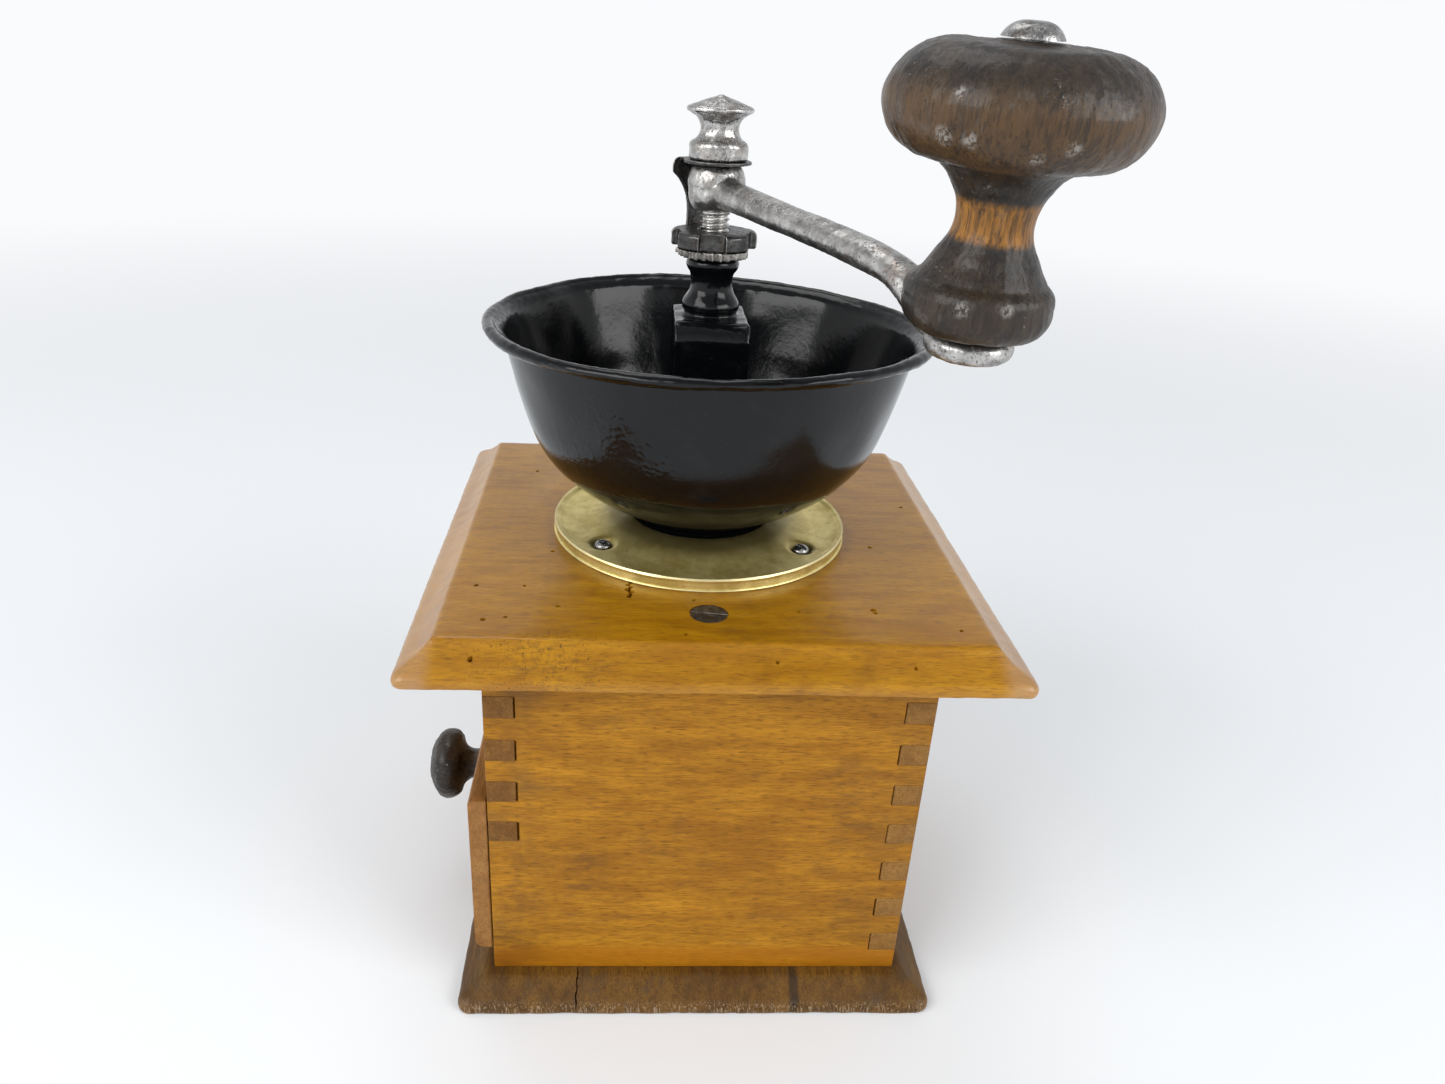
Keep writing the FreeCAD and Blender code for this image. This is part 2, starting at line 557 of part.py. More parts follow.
def adjusting_nut():
    disc = turned([(SPINDLE_R + 0.03, NUT_LOW_Z), (NUT_R - 0.4, NUT_LOW_Z), (NUT_R, NUT_LOW_Z + 0.5),
                   (NUT_R, NUT_TOP_Z - 0.9), (NUT_R - 0.6, NUT_TOP_Z - 0.3), (NUT_R - 2.2, NUT_TOP_Z),
                   (SPINDLE_R + 0.5, NUT_TOP_Z), (SPINDLE_R + 0.03, NUT_TOP_Z - 0.5)])
    half = NUT_NOTCH_W / 2
    wedge = Part.Face(Part.makePolygon([V(NUT_FLOOR_R, -half + 0.5, NUT_LOW_Z - 1),
                                        V(NUT_R + 1, -half - 0.3, NUT_LOW_Z - 1),
                                        V(NUT_R + 1, half + 0.3, NUT_LOW_Z - 1),
                                        V(NUT_FLOOR_R, half - 0.5, NUT_LOW_Z - 1),
                                        V(NUT_FLOOR_R, -half + 0.5, NUT_LOW_Z - 1)]))
    wedge = wedge.extrude(V(0, 0, NUT_TOP_Z - NUT_LOW_Z + 2))
    return cut(disc, *ring_of(wedge, NUT_NOTCHES, NUT_ANGLE))


def locking_plate():
    """Sheet washer under the finial whose tail bends down behind the eye into the nut's notch."""
    wide, narrow = 7.6, 2.5
    foot_z = NUT_LOW_Z + 0.8
    def at(across, z):
        return V(PLATE_AT, across, z)
    def flank(side):
        return [Part.Arc(at(side * 5.4, PLATE_Z + PLATE_T), at(side * 7.0, PLATE_Z + 0.2),
                         at(side * wide, PLATE_Z - 1.4)).toShape(),
                Part.makeLine(at(side * wide, PLATE_Z - 1.4), at(side * wide, PLATE_Z - 3.0)),
                Part.Arc(at(side * wide, PLATE_Z - 3.0), at(side * 3.7, PLATE_Z - 7.4),
                         at(side * narrow, PLATE_Z - 12.5)).toShape(),
                Part.makeLine(at(side * narrow, PLATE_Z - 12.5), at(side * narrow, foot_z))]
    edges = flank(1) + flank(-1)
    edges.append(Part.makeLine(at(-5.4, PLATE_Z + PLATE_T), at(5.4, PLATE_Z + PLATE_T)))
    edges.append(Part.makeLine(at(-narrow, foot_z), at(narrow, foot_z)))
    tail = Part.Face(Part.Wire(Part.__sortEdges__(edges))).extrude(V(PLATE_T, 0, 0))
    deck = fuse(rod(8.8, PLATE_Z, PLATE_Z + PLATE_T),
                box(2, PLATE_AT + PLATE_T, -5.4, 5.4, PLATE_Z, PLATE_Z + PLATE_T))
    plate = fuse(deck, tail)
    bend = edges_along(plate, V(0, 1, 0), lambda m: m.x > PLATE_AT + PLATE_T - 0.01
                       and m.z > PLATE_Z + PLATE_T - 0.01)
    plate = plate.makeFillet(0.7, bend)
    plate = spun(plate, PLATE_ANGLE)
    hole = square_bar(CRANK_SQUARE + 0.1, PLATE_Z - 1, PLATE_Z + PLATE_T + 1, SQUARE_ANGLE)
    return cut(plate, hole)


def finial_nut():
    z = FINIAL_LOW_Z
    body = turned([(0, z), (7.3, z), (7.7, z + 0.5), (7.7, z + 3.2),
                   ("arc", (7.3, z + 4.3), (6.3, z + 4.9)), ("arc", (4.95, z + 7.6), (6.9, z + 10.8)),
                   (8.2, z + 11.6), ("arc", (8.75, z + 12.2), (8.3, z + 12.8)),
                   (1.0, z + 15.4), (CROWN_R, z + 15.6), (0, z + 15.6)])
    return cut(body, rod(2.45, z - 1, z + 8.2))


def lean(shape):
    """Stand a shape, made on the Z axis with the boss's top at z=0, where the knob's pin is."""
    copy = shape.copy()
    copy.rotate(V(0, 0, 0), V(0, 1, 0), KNOB_LEAN)
    copy.translate(V(CRANK_R, 0, BOSS_TOP_Z))
    return spun(copy, CRANK_ANGLE)


def oval(centre, half_w, half_h, pitch):
    """Oval section of the arm; pitch is how steeply the arm falls there, in degrees."""
    a = math.radians(pitch)
    across, up = V(0, 1, 0), V(math.sin(a), 0, math.cos(a))
    if half_w >= half_h:
        curve = Part.Ellipse(centre + across * half_w, centre + up * half_h, centre)
    else:
        curve = Part.Ellipse(centre + up * half_h, centre - across * half_w, centre)
    return Part.Wire([curve.toShape()])


def crank_arm():
    """Forged arm: eye on the spindle's square, oval bar falling outward, flat round boss."""
    eye = turned([(0, EYE_LOW_Z), (5.6, EYE_LOW_Z), ("arc", (6.9, EYE_LOW_Z + 1.8), (EYE_R, EYE_LOW_Z + 5.0)),
                  ("arc", (7.2, EYE_TOP_Z - 2.4), (5.9, EYE_TOP_Z - 0.2)), (0, EYE_TOP_Z - 0.05)])
    stations = [(2.0, 224.4, 4.6, 4.2, 0), (12.0, 223.6, 4.4, 3.7, 3), (34.0, 222.2, 4.4, 3.35, 3),
                (58.0, 220.8, 4.4, 3.3, 4), (76.0, 219.0, 4.4, 3.2, 9), (84.5, 216.4, 4.4, 3.1, 24),
                (90.5, 212.7, 4.6, 2.9, 30), (96.5, 210.2, 5.2, 2.1, 12), (103.5, 209.5, 6.0, 1.7, 4)]
    bar = Part.makeLoft([oval(V(r, 0, z), w, h, pitch) for r, z, w, h, pitch in stations], True, False)
    arm = spun(bar, CRANK_ANGLE)
    boss = turned([(0, -BOSS_T), (BOSS_R - 1.6, -BOSS_T), ("arc", (BOSS_R, -BOSS_T / 2), (BOSS_R - 1.3, 0)),
                   (0, 0)])
    body = fuse(eye, arm, lean(boss))
    square = square_bar(CRANK_SQUARE + 0.1, EYE_LOW_Z - 1, EYE_TOP_Z + 1, SQUARE_ANGLE)
    thread = rod(SPINDLE_R + 0.1, EYE_LOW_Z - 4, EYE_LOW_Z)
    return cut(body, square, thread, lean(knob_room(0.35)), lean(rod(2.6, -9, 9)))


def knob_room(play):
    """Space for the knob's foot above the boss, with play round it."""
    return turned([(0, 0), (9.6 + play, 0), ("arc", (13.4 + play, 2.2), (14.3 + play, 6.7)),
                   (14.3 + play, 16), (0, 16)])


def knob_pin():
    """Pin through the knob: domed head on top, shouldered and riveted over under the boss."""
    head_z = 50.3
    return lean(turned([
        (0, -BOSS_T - 1.1), ("arc", (2.6, -BOSS_T - 0.9), (3.4, -BOSS_T)), (2.58, -BOSS_T), (2.58, 0),
        (PIN_R, 0), (PIN_R, head_z), (5.4, head_z),
        ("arc", (3.9, head_z + 1.9), (CROWN_R, head_z + 2.6)), (0, head_z + 2.6)]))


def crank_knob():
    base = KNOB_GAP
    body = turned([
        (0, base), (9.6, base), ("arc", (13.4, base + 2.2), (14.3, base + 6.4)),
        ("arc", (13.9, base + 8.8), (12.0, base + 10.4)), ("arc", (10.6, base + 12.6), (8.9, base + 15.4)),
        ("arc", (7.2, base + 20.5), (9.0, base + 26.2)), ("arc", (10.8, base + 28.6), (14.4, base + 30.4)),
        ("arc", (22.4, base + 35.0), (23.8, base + 40.4)), ("arc", (20.4, base + 46.6), (11.0, base + 49.4)),
        (5.8, base + 49.7), (0, base + 49.7)])
    return lean(cut(body, rod(PIN_R + BEARING_PLAY, -1, base + 60)))


# ---------------------------------------------------------------- all pieces
def build():
    NODES["base_plate"] = base_plate()
    NODES["base_screws"] = base_screws()
    NODES["near_side_wall"] = side_wall(1)
    NODES["far_side_wall"] = side_wall(-1)
    NODES["front_board"] = cross_wall(FRONT_Y, -1, FRONT_Z, FRONT_FINGERS)
    NODES["back_wall"] = cross_wall(BACK_Y, 1, WALL_Z, FINGER_COUNT)
    NODES["top_plate"] = top_plate()
    NODES["top_plate_screws"] = top_plate_screws()
    NODES["flange_ring"] = flange_ring()
    NODES["flange_screws"] = flange_screws()
    NODES["hopper_bowl"] = hopper_bowl()
    NODES["mill_frame"] = mill_frame()
    NODES["outer_burr"] = outer_burr()
    NODES["lower_bearing"] = lower_bearing()
    NODES["lower_bearing_screws"] = lower_bearing_screws()
    NODES["serrated_washer"] = serrated_washer()
    NODES["spindle"] = spindle()
    NODES["inner_burr"] = inner_burr()
    NODES["burr_pin"] = burr_pin()
    NODES["adjusting_nut"] = adjusting_nut()
    NODES["locking_plate"] = locking_plate()
    NODES["crank_arm"] = crank_arm()
    NODES["finial_nut"] = finial_nut()
    NODES["knob_pin"] = knob_pin()
    NODES["crank_knob"] = crank_knob()
    NODES["drawer_front"] = drawer_front()
    NODES["drawer_near_side"] = drawer_side(1)
    NODES["drawer_far_side"] = drawer_side(-1)
    NODES["drawer_back"] = drawer_back()
    NODES["drawer_bottom"] = drawer_bottom()
    NODES["drawer_nails"] = drawer_nails()
    NODES["drawer_pull"] = drawer_pull()
    NODES["drawer_pull_screw"] = drawer_pull_screw()


os.makedirs("parts", exist_ok=True)
build()
for name, shape in NODES.items():
    solid = Part.makeCompound(shape) if isinstance(shape, list) else shape
    valid = solid.isValid()
    solid.exportStep("parts/" + name + ".step")
    print(name, len(solid.Solids), "solid", "ok" if valid else "INVALID", round(solid.Volume, 1))
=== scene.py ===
"""Looks of the hand crank coffee grinder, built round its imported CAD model.

The frame is the CAD's: +Z up, the origin on the spindle's axis under the base, the drawer towards -Y.
Outlines are written in millimetres and turned into metres when a mesh is made.
"""
import json
import math
import random

import bmesh
import bpy
import numpy as np
from mathutils import Matrix, Vector, noise


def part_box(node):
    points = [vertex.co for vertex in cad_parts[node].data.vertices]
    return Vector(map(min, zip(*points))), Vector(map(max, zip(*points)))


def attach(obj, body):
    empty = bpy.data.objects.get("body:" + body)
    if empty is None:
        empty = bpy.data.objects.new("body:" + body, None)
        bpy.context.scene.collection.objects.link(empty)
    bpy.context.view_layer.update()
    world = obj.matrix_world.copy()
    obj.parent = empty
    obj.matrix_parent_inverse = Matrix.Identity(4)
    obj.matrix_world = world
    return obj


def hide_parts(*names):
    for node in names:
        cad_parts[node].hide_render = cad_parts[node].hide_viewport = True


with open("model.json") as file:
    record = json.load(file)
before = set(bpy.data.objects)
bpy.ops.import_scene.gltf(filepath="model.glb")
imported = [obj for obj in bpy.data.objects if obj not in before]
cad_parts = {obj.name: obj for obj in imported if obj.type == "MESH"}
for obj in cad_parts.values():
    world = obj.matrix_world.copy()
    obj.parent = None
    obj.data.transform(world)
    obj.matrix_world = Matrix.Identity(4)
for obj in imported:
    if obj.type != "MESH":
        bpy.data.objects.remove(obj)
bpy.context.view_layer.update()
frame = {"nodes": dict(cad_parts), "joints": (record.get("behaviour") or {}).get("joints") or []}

MM = 0.001
SEED = 11
random.seed(SEED)
JOINTS = {joint["name"]: joint for joint in frame["joints"]}
SCENE = bpy.context.scene


# -------------------- sizes read from the frame, in mm
def low(node):
    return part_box(node)[0] / MM


def high(node):
    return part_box(node)[1] / MM


BASE_LOW, BASE_HIGH = low("base_plate"), high("base_plate")
TOP_LOW, TOP_HIGH = low("top_plate"), high("top_plate")
DECK_Z = TOP_HIGH.z
RING_R = high("flange_ring").x
FINIAL_Z = low("finial_nut").z
SCREW_RING_R = 34.5
SCREW_PLACES = [(SCREW_RING_R * math.cos(math.radians(a)), SCREW_RING_R * math.sin(math.radians(a)))
                for a in (55, 125, 235, 305)]
SPINDLE_R = 4.0
THREAD_PITCH, THREAD_DEPTH = 1.45, 0.62


# -------------------- outlines
def through(a, m, b, step):
    """Points of the arc from a through m to b, about a step apart, without a itself."""
    ax, ay, bx, by, cx, cy = a[0], a[1], m[0], m[1], b[0], b[1]
    d = 2 * (ax * (by - cy) + bx * (cy - ay) + cx * (ay - by))
    if abs(d) < 1e-9:
        return along(a, b, step)
    aa, bb, cc = ax * ax + ay * ay, bx * bx + by * by, cx * cx + cy * cy
    ux = (aa * (by - cy) + bb * (cy - ay) + cc * (ay - by)) / d
    uy = (aa * (cx - bx) + bb * (ax - cx) + cc * (bx - ax)) / d
    radius = math.hypot(ax - ux, ay - uy)
    t0, tm, t1 = (math.atan2(p[1] - uy, p[0] - ux) for p in (a, m, b))
    turn = (t1 - t0) % math.tau
    if (tm - t0) % math.tau > turn:
        turn -= math.tau
    count = max(3, round(abs(turn) * radius / step))
    return [(ux + radius * math.cos(t0 + turn * i / count), uy + radius * math.sin(t0 + turn * i / count))
            for i in range(1, count + 1)]


def along(a, b, step):
    count = max(1, round(math.dist(a, b) / step))
    return [(a[0] + (b[0] - a[0]) * i / count, a[1] + (b[1] - a[1]) * i / count) for i in range(1, count + 1)]


def spread(outline, step):
    """Points about a step apart on an outline of (radius, height) points and ("arc", middle, end)."""
    points = [outline[0]]
    for part in outline[1:]:
        here = points[-1]
        points += through(here, part[1], part[2], step) if part[0] == "arc" else along(here, part, step)
    return points


def flowing(points, step):
    """Points about a step apart on a smooth curve through the given ones."""
    ends = [points[0]] + list(points) + [points[-1]]
    made = [tuple(points[0])]
    for p0, p1, p2, p3 in zip(ends, ends[1:], ends[2:], ends[3:]):
        count = max(1, round(math.dist(p1, p2) / step))
        for i in range(1, count + 1):
            t = i / count
            made.append(tuple(0.5 * (2 * b + (c - a) * t + (2 * a - 5 * b + 4 * c - d) * t * t
                                     + (3 * b - a - 3 * c + d) * t ** 3)
                              for a, b, c, d in zip(p0, p1, p2, p3)))
    return made


def offset(points, distance):
    """The same line moved sideways, to the left of its direction."""
    p = np.array(points)
    d = np.gradient(p, axis=0)
    d /= np.linalg.norm(d, axis=1)[:, None]
    return [tuple(q) for q in p + np.column_stack([-d[:, 1], d[:, 0]]) * distance]


# -------------------- meshes
def make_mesh(name, verts_mm, faces):
    mesh = bpy.data.meshes.new(name)
    mesh.from_pydata([Vector(v) * MM for v in verts_mm], [], faces)
    return tidied(mesh)


def tidied(mesh):
    """Normals outward."""
    bm = bmesh.new()
    bm.from_mesh(mesh)
    bmesh.ops.recalc_face_normals(bm, faces=bm.faces)
    bm.to_mesh(mesh)
    bm.free()
    return mesh


def skinned(rows, count):
    """Faces of a closed skin over rows of count points each."""
    faces = [[k * count + i, k * count + j, (k + 1) * count + j, (k + 1) * count + i]
             for k in range(rows - 1) for i, j in zip(range(count), [*range(1, count), 0])]
    return faces + [list(range(count))[::-1], list(range((rows - 1) * count, rows * count))]


def lathe(name, points, around, ring=False, shape=None):
    """Mesh turned about Z from (radius, height) points. ring joins the last point to the first.
    shape(angle, radius, height) gives the changed radius and height."""
    verts, rows, faces = [], [], []
    for r, z in points:
        if r < 1e-6:
            rows.append([len(verts)] * around)
            verts.append((0, 0, z))
            continue
        rows.append(list(range(len(verts), len(verts) + around)))
        for i in range(around):
            a = math.tau * i / around
            rr, zz = shape(a, r, z) if shape else (r, z)
            verts.append((rr * math.cos(a), rr * math.sin(a), zz))
    pairs = list(zip(rows, rows[1:])) + ([(rows[-1], rows[0])] if ring else [])
    for low_row, high_row in pairs:
        for i in range(around):
            j = (i + 1) % around
            corner = [low_row[i], low_row[j], high_row[j], high_row[i]]
            face = [v for k, v in enumerate(corner) if v != corner[k - 1]]
            if len(face) > 2:
                faces.append(face)
    return make_mesh(name, verts, faces)


def block(name, size, at, turn=0.0):
    """A cutting block."""
    bm = bmesh.new()
    bmesh.ops.create_cube(bm, size=1)
    mesh = bpy.data.meshes.new(name)
    bm.transform(Matrix.Translation(Vector(at) * MM) @ Matrix.Rotation(math.radians(turn), 4, "Z")
                 @ Matrix.Diagonal((*(Vector(size) * MM), 1)))
    bm.to_mesh(mesh)
    bm.free()
    return mesh


def ragged_hole(x, y, radius, z0, z1, sides=9):
    """A worm hole's space: an uneven round bore."""
    verts, faces = [], []
    jitter = [radius * random.uniform(0.75, 1.2) for _ in range(sides)]
    for z, scale in ((z0, 0.8), (z1, 1.0)):
        for i in range(sides):
            a = math.tau * i / sides
            verts.append((x + jitter[i] * scale * math.cos(a), y + jitter[i] * scale * math.sin(a), z))
    faces = [[i, (i + 1) % sides, sides + (i + 1) % sides, sides + i] for i in range(sides)]
    faces += [list(range(sides))[::-1], list(range(sides, 2 * sides))]
    return make_mesh("hole", verts, faces)


def joined(name, meshes):
    bm = bmesh.new()
    for mesh in meshes:
        bm.from_mesh(mesh)
        bpy.data.meshes.remove(mesh)
    made = bpy.data.meshes.new(name)
    bm.to_mesh(made)
    bm.free()
    return made


def shaped(mesh, prepare):
    """The mesh after the modifiers that prepare(object) adds."""
    name = mesh.name
    holder = bpy.data.objects.new("holder", mesh)
    SCENE.collection.objects.link(holder)
    prepare(holder)
    bpy.context.view_layer.update()
    made = bpy.data.meshes.new_from_object(holder.evaluated_get(bpy.context.evaluated_depsgraph_get()))
    bpy.data.objects.remove(holder)
    bpy.data.meshes.remove(mesh)
    made.name = name
    return made


def carved(mesh, tool, outer=None, inner=None):
    """The mesh less a tool mesh. outer and inner are the materials of the old faces and of the cut ones."""
    if inner:
        mesh.materials.append(outer)
        tool.materials.append(inner)
    cutter = bpy.data.objects.new("cutter", tool)
    SCENE.collection.objects.link(cutter)

    def prepare(holder):
        cut = holder.modifiers.new("cut", "BOOLEAN")
        cut.operation = "DIFFERENCE"
        cut.solver = "EXACT"
        cut.use_self = True
        cut.object = cutter
    made = shaped(mesh, prepare)
    bpy.data.objects.remove(cutter)
    bpy.data.meshes.remove(tool)
    return made


def rounded_off(mesh, voxel, passes):
    """Remeshed on a fine grid and smoothed, so that edges look cast or worn."""
    def prepare(holder):
        remesh = holder.modifiers.new("remesh", "REMESH")
        remesh.mode = "VOXEL"
        remesh.voxel_size = voxel * MM
        smooth = holder.modifiers.new("smooth", "SMOOTH")
        smooth.iterations = passes
        smooth.factor = 0.5
    return shaped(mesh, prepare)


def copy_of(node):
    """A welded copy of a CAD node's mesh, without its material."""
    bm = bmesh.new()
    bm.from_mesh(frame["nodes"][node].data)
    bmesh.ops.remove_doubles(bm, verts=bm.verts, dist=2e-6)
    mesh = bpy.data.meshes.new(node)
    bm.to_mesh(mesh)
    bm.free()
    return mesh


def eased(node, width, shortest=2.5):
    """Copy of a boxy CAD node with its long outer edges rounded."""
    mesh = copy_of(node)
    bm = bmesh.new()
    bm.from_mesh(mesh)
    bmesh.ops.dissolve_limit(bm, angle_limit=math.radians(0.5), verts=bm.verts, edges=bm.edges)
    edges = [e for e in bm.edges if len(e.link_faces) == 2 and e.is_convex
             and e.calc_face_angle(0) > math.radians(50) and e.calc_length() > shortest * MM]
    bmesh.ops.bevel(bm, geom=edges, offset=width * MM, segments=3, profile=0.5, affect="EDGES",
                    clamp_overlap=False)
    bm.to_mesh(mesh)
    bm.free()
    return mesh


def coordinates(mesh, what="co"):
    """The vertices' places, or with "normal" their normals, as an array."""
    flat = np.empty(3 * len(mesh.vertices), np.float32)
    mesh.vertices.foreach_get(what, flat)
    return flat.reshape(-1, 3)


def moved(mesh, co):
    mesh.vertices.foreach_set("co", co.ravel())
    mesh.update()
    return mesh


def roughened(mesh, height, size, stretch=(1, 1, 1), keep=None, bias=0.0):
    """Vertices moved along their normals by noise. height and size are in mm; keep(point) scales it."""
    co, normals = coordinates(mesh), coordinates(mesh, "normal")
    scale = Vector((1 / (size * s * MM) for s in stretch))
    amount = np.empty(len(co))
    for i, p in enumerate(co):
        q = Vector((p[0] * scale.x, p[1] * scale.y, p[2] * scale.z + SEED))
        amount[i] = (noise.noise(q) + bias) * (keep(p / MM) if keep else 1.0)
    co += (normals * amount[:, None] * height * MM).astype(np.float32)
    return moved(mesh, co)


def within(mesh, lower, upper):
    """Points held inside a box given in mm."""
    lower, upper = (np.array(corner, np.float32) * MM for corner in (lower, upper))
    return moved(mesh, np.clip(coordinates(mesh), lower, upper))


def mark_wear(mesh, spread_passes=1):
    """Attribute "wear": how far each point stands out from its neighbours."""
    co, normals = coordinates(mesh), coordinates(mesh, "normal")
    flat = np.empty(2 * len(mesh.edges), np.int32)
    mesh.edges.foreach_get("vertices", flat)
    a, b = flat.reshape(-1, 2).T
    d = co[b] - co[a]
    length = np.maximum(np.linalg.norm(d, axis=1), 1e-9)
    bend, count = np.zeros(len(co)), np.zeros(len(co))
    np.add.at(bend, a, -(normals[a] * d).sum(1) / length)
    np.add.at(bend, b, (normals[b] * d).sum(1) / length)
    np.add.at(count, a, 1)
    np.add.at(count, b, 1)
    bend /= np.maximum(count, 1)
    for _ in range(spread_passes):
        near = np.zeros(len(co))
        np.add.at(near, a, bend[b])
        np.add.at(near, b, bend[a])
        bend = 0.5 * bend + 0.5 * near / np.maximum(count, 1)
    made = mesh.attributes.new("wear", "FLOAT", "POINT")
    made.data.foreach_set("value", bend.astype(np.float32))
    return mesh


def worn(mesh, *passes, spread_passes=1, **how):
    """The mesh roughened once for each (height, size) or (height, size, stretch), then marked for wear."""
    for one in passes:
        roughened(mesh, *one, **how)
    return mark_wear(mesh, spread_passes)


def stood_at(mesh, matrix):
    """The mesh moved to its place; attribute "turned" keeps where each point was on the lathe."""
    made = mesh.attributes.new("turned", "FLOAT_VECTOR", "POINT")
    made.data.foreach_set("vector", coordinates(mesh).ravel())
    mesh.transform(matrix)
    return mesh


def add_piece(name, mesh, body, slot, look, replaced=(), sharp=35):
    if not mesh.materials:
        mesh.materials.append(look)
    mesh.polygons.foreach_set("use_smooth", [True] * len(mesh.polygons))
    mesh.set_sharp_from_angle(angle=math.radians(sharp))
    piece = bpy.data.objects.new(name, mesh)
    SCENE.collection.objects.link(piece)
    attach(piece, body)
    if replaced:
        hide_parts(*replaced)


def finish_node(node, look):
    """Give a CAD node that stays shown its material."""
    piece = frame["nodes"][node]
    piece.data.materials.clear()
    piece.data.materials.append(look)


# -------------------- material building
class Look:
    """A node material round one Principled shader, textured in the object's own coordinates."""

    def __init__(self, name, lathe_coords=False):
        self.material = bpy.data.materials.new(name)
        self.material.use_nodes = True
        self.tree = self.material.node_tree
        self.tree.nodes.clear()
        output = self.tree.nodes.new("ShaderNodeOutputMaterial")
        self.shader = self.tree.nodes.new("ShaderNodeBsdfPrincipled")
        self.tree.links.new(self.shader.outputs[0], output.inputs["Surface"])
        self.coords = self.tree.nodes.new("ShaderNodeTexCoord").outputs["Object"]
        if lathe_coords:
            self.coords = self.node("Attribute", {}, attribute_name="turned").outputs["Vector"]

    def put(self, socket, value):
        if isinstance(value, bpy.types.NodeSocket):
            self.tree.links.new(value, socket)
        elif socket.type == "RGBA" and len(value) == 3:
            socket.default_value = (*value, 1)
        else:
            socket.default_value = value

    def node(self, kind, inputs, **settings):
        made = self.tree.nodes.new("ShaderNode" + kind)
        for key, value in settings.items():
            setattr(made, key, value)
        for key, value in inputs.items():
            self.put(made.inputs[key], value)
        return made

    def stretched(self, axis, factor):
        """Coordinates squeezed along one axis, so that features come out long along it."""
        scale = [1.0, 1.0, 1.0]
        scale["xyz".index(axis)] = factor
        return self.node("VectorMath", {0: self.coords, 1: scale}, operation="MULTIPLY").outputs[0]

    def shifted(self, coords, by):
        return self.node("VectorMath", {0: coords, 1: by}, operation="ADD").outputs[0]

    def noise(self, size, coords=None, detail=3.0, roughness=0.5, distortion=0.0):
        """Noise whose features are about size mm."""
        return self.node("TexNoise", {"Vector": coords or self.coords, "Scale": 1 / (size * MM),
                                      "Detail": detail, "Roughness": roughness,
                                      "Distortion": distortion}).outputs["Fac"]

    def cells(self, size, coords):
        return self.node("TexVoronoi", {"Vector": coords, "Scale": 1 / (size * MM)},
                         feature="SMOOTH_F1").outputs["Distance"]

    def ramp(self, value, start, end):
        """0 at start and below, 1 at end and beyond; start may be above end."""
        return self.node("MapRange", {"Value": value, "From Min": start, "From Max": end},
                         interpolation_type="SMOOTHSTEP").outputs[0]

    def cloud(self, start, end, *shape):
        """Noise of the given shape made into patches by a ramp."""
        return self.ramp(self.noise(*shape), start, end)

    def axis(self, name, start, end):
        """Ramp along one axis of the object, between two places in mm."""
        parts = self.node("SeparateXYZ", {0: self.coords})
        return self.ramp(parts.outputs[name.upper()], start * MM, end * MM)

    def spot(self, centre, radius, soft):
        """1 within a radius of a place, fading out over soft mm."""
        gap = self.node("VectorMath", {0: self.coords, 1: Vector(centre) * MM}, operation="DISTANCE")
        return self.ramp(gap.outputs["Value"], (radius + soft) * MM, radius * MM)

    def math(self, operation, a, b):
        return self.node("Math", {0: a, 1: b}, operation=operation).outputs[0]

    def times(self, *values):
        made = values[0]
        for value in values[1:]:
            made = self.math("MULTIPLY", made, value)
        return made

    def most(self, a, b):
        return self.math("MAXIMUM", a, b)

    def blend(self, t, a, b):
        """Colour a where t is 0, b where t is 1."""
        return self.node("Mix", {0: t, 6: a, 7: b}, data_type="RGBA").outputs[2]

    def tint(self, colour, shade, *masks):
        """The colour turned to the shade where all the masks are 1."""
        return self.blend(self.times(*masks), colour, shade)

    def between(self, t, a, b):
        """Number a where t is 0, b where t is 1."""
        return self.node("MapRange", {"Value": t, "To Min": a, "To Max": b}).outputs[0]

    def wear(self, start, end):
        attribute = self.node("Attribute", {}, attribute_name="wear", attribute_type="GEOMETRY")
        return self.ramp(attribute.outputs["Fac"], start, end)

    def bump(self, height, depth, strength=1.0, under=None):
        """Normal from a height of 0 to 1 that stands for depth mm."""
        inputs = {"Height": height, "Distance": depth * MM, "Strength": strength}
        if under is not None:
            inputs["Normal"] = under
        return self.node("Bump", inputs).outputs[0]

    def finish(self, colour, roughness, normal, metallic=0.0, coat=0.0, coat_roughness=0.1, specular=0.5):
        for key, value in (("Base Color", colour), ("Roughness", roughness), ("Normal", normal),
                           ("Metallic", metallic), ("Coat Weight", coat), ("Coat Roughness", coat_roughness),
                           ("Specular IOR Level", specular)):
            self.put(self.shader.inputs[key], value)
        return self.material


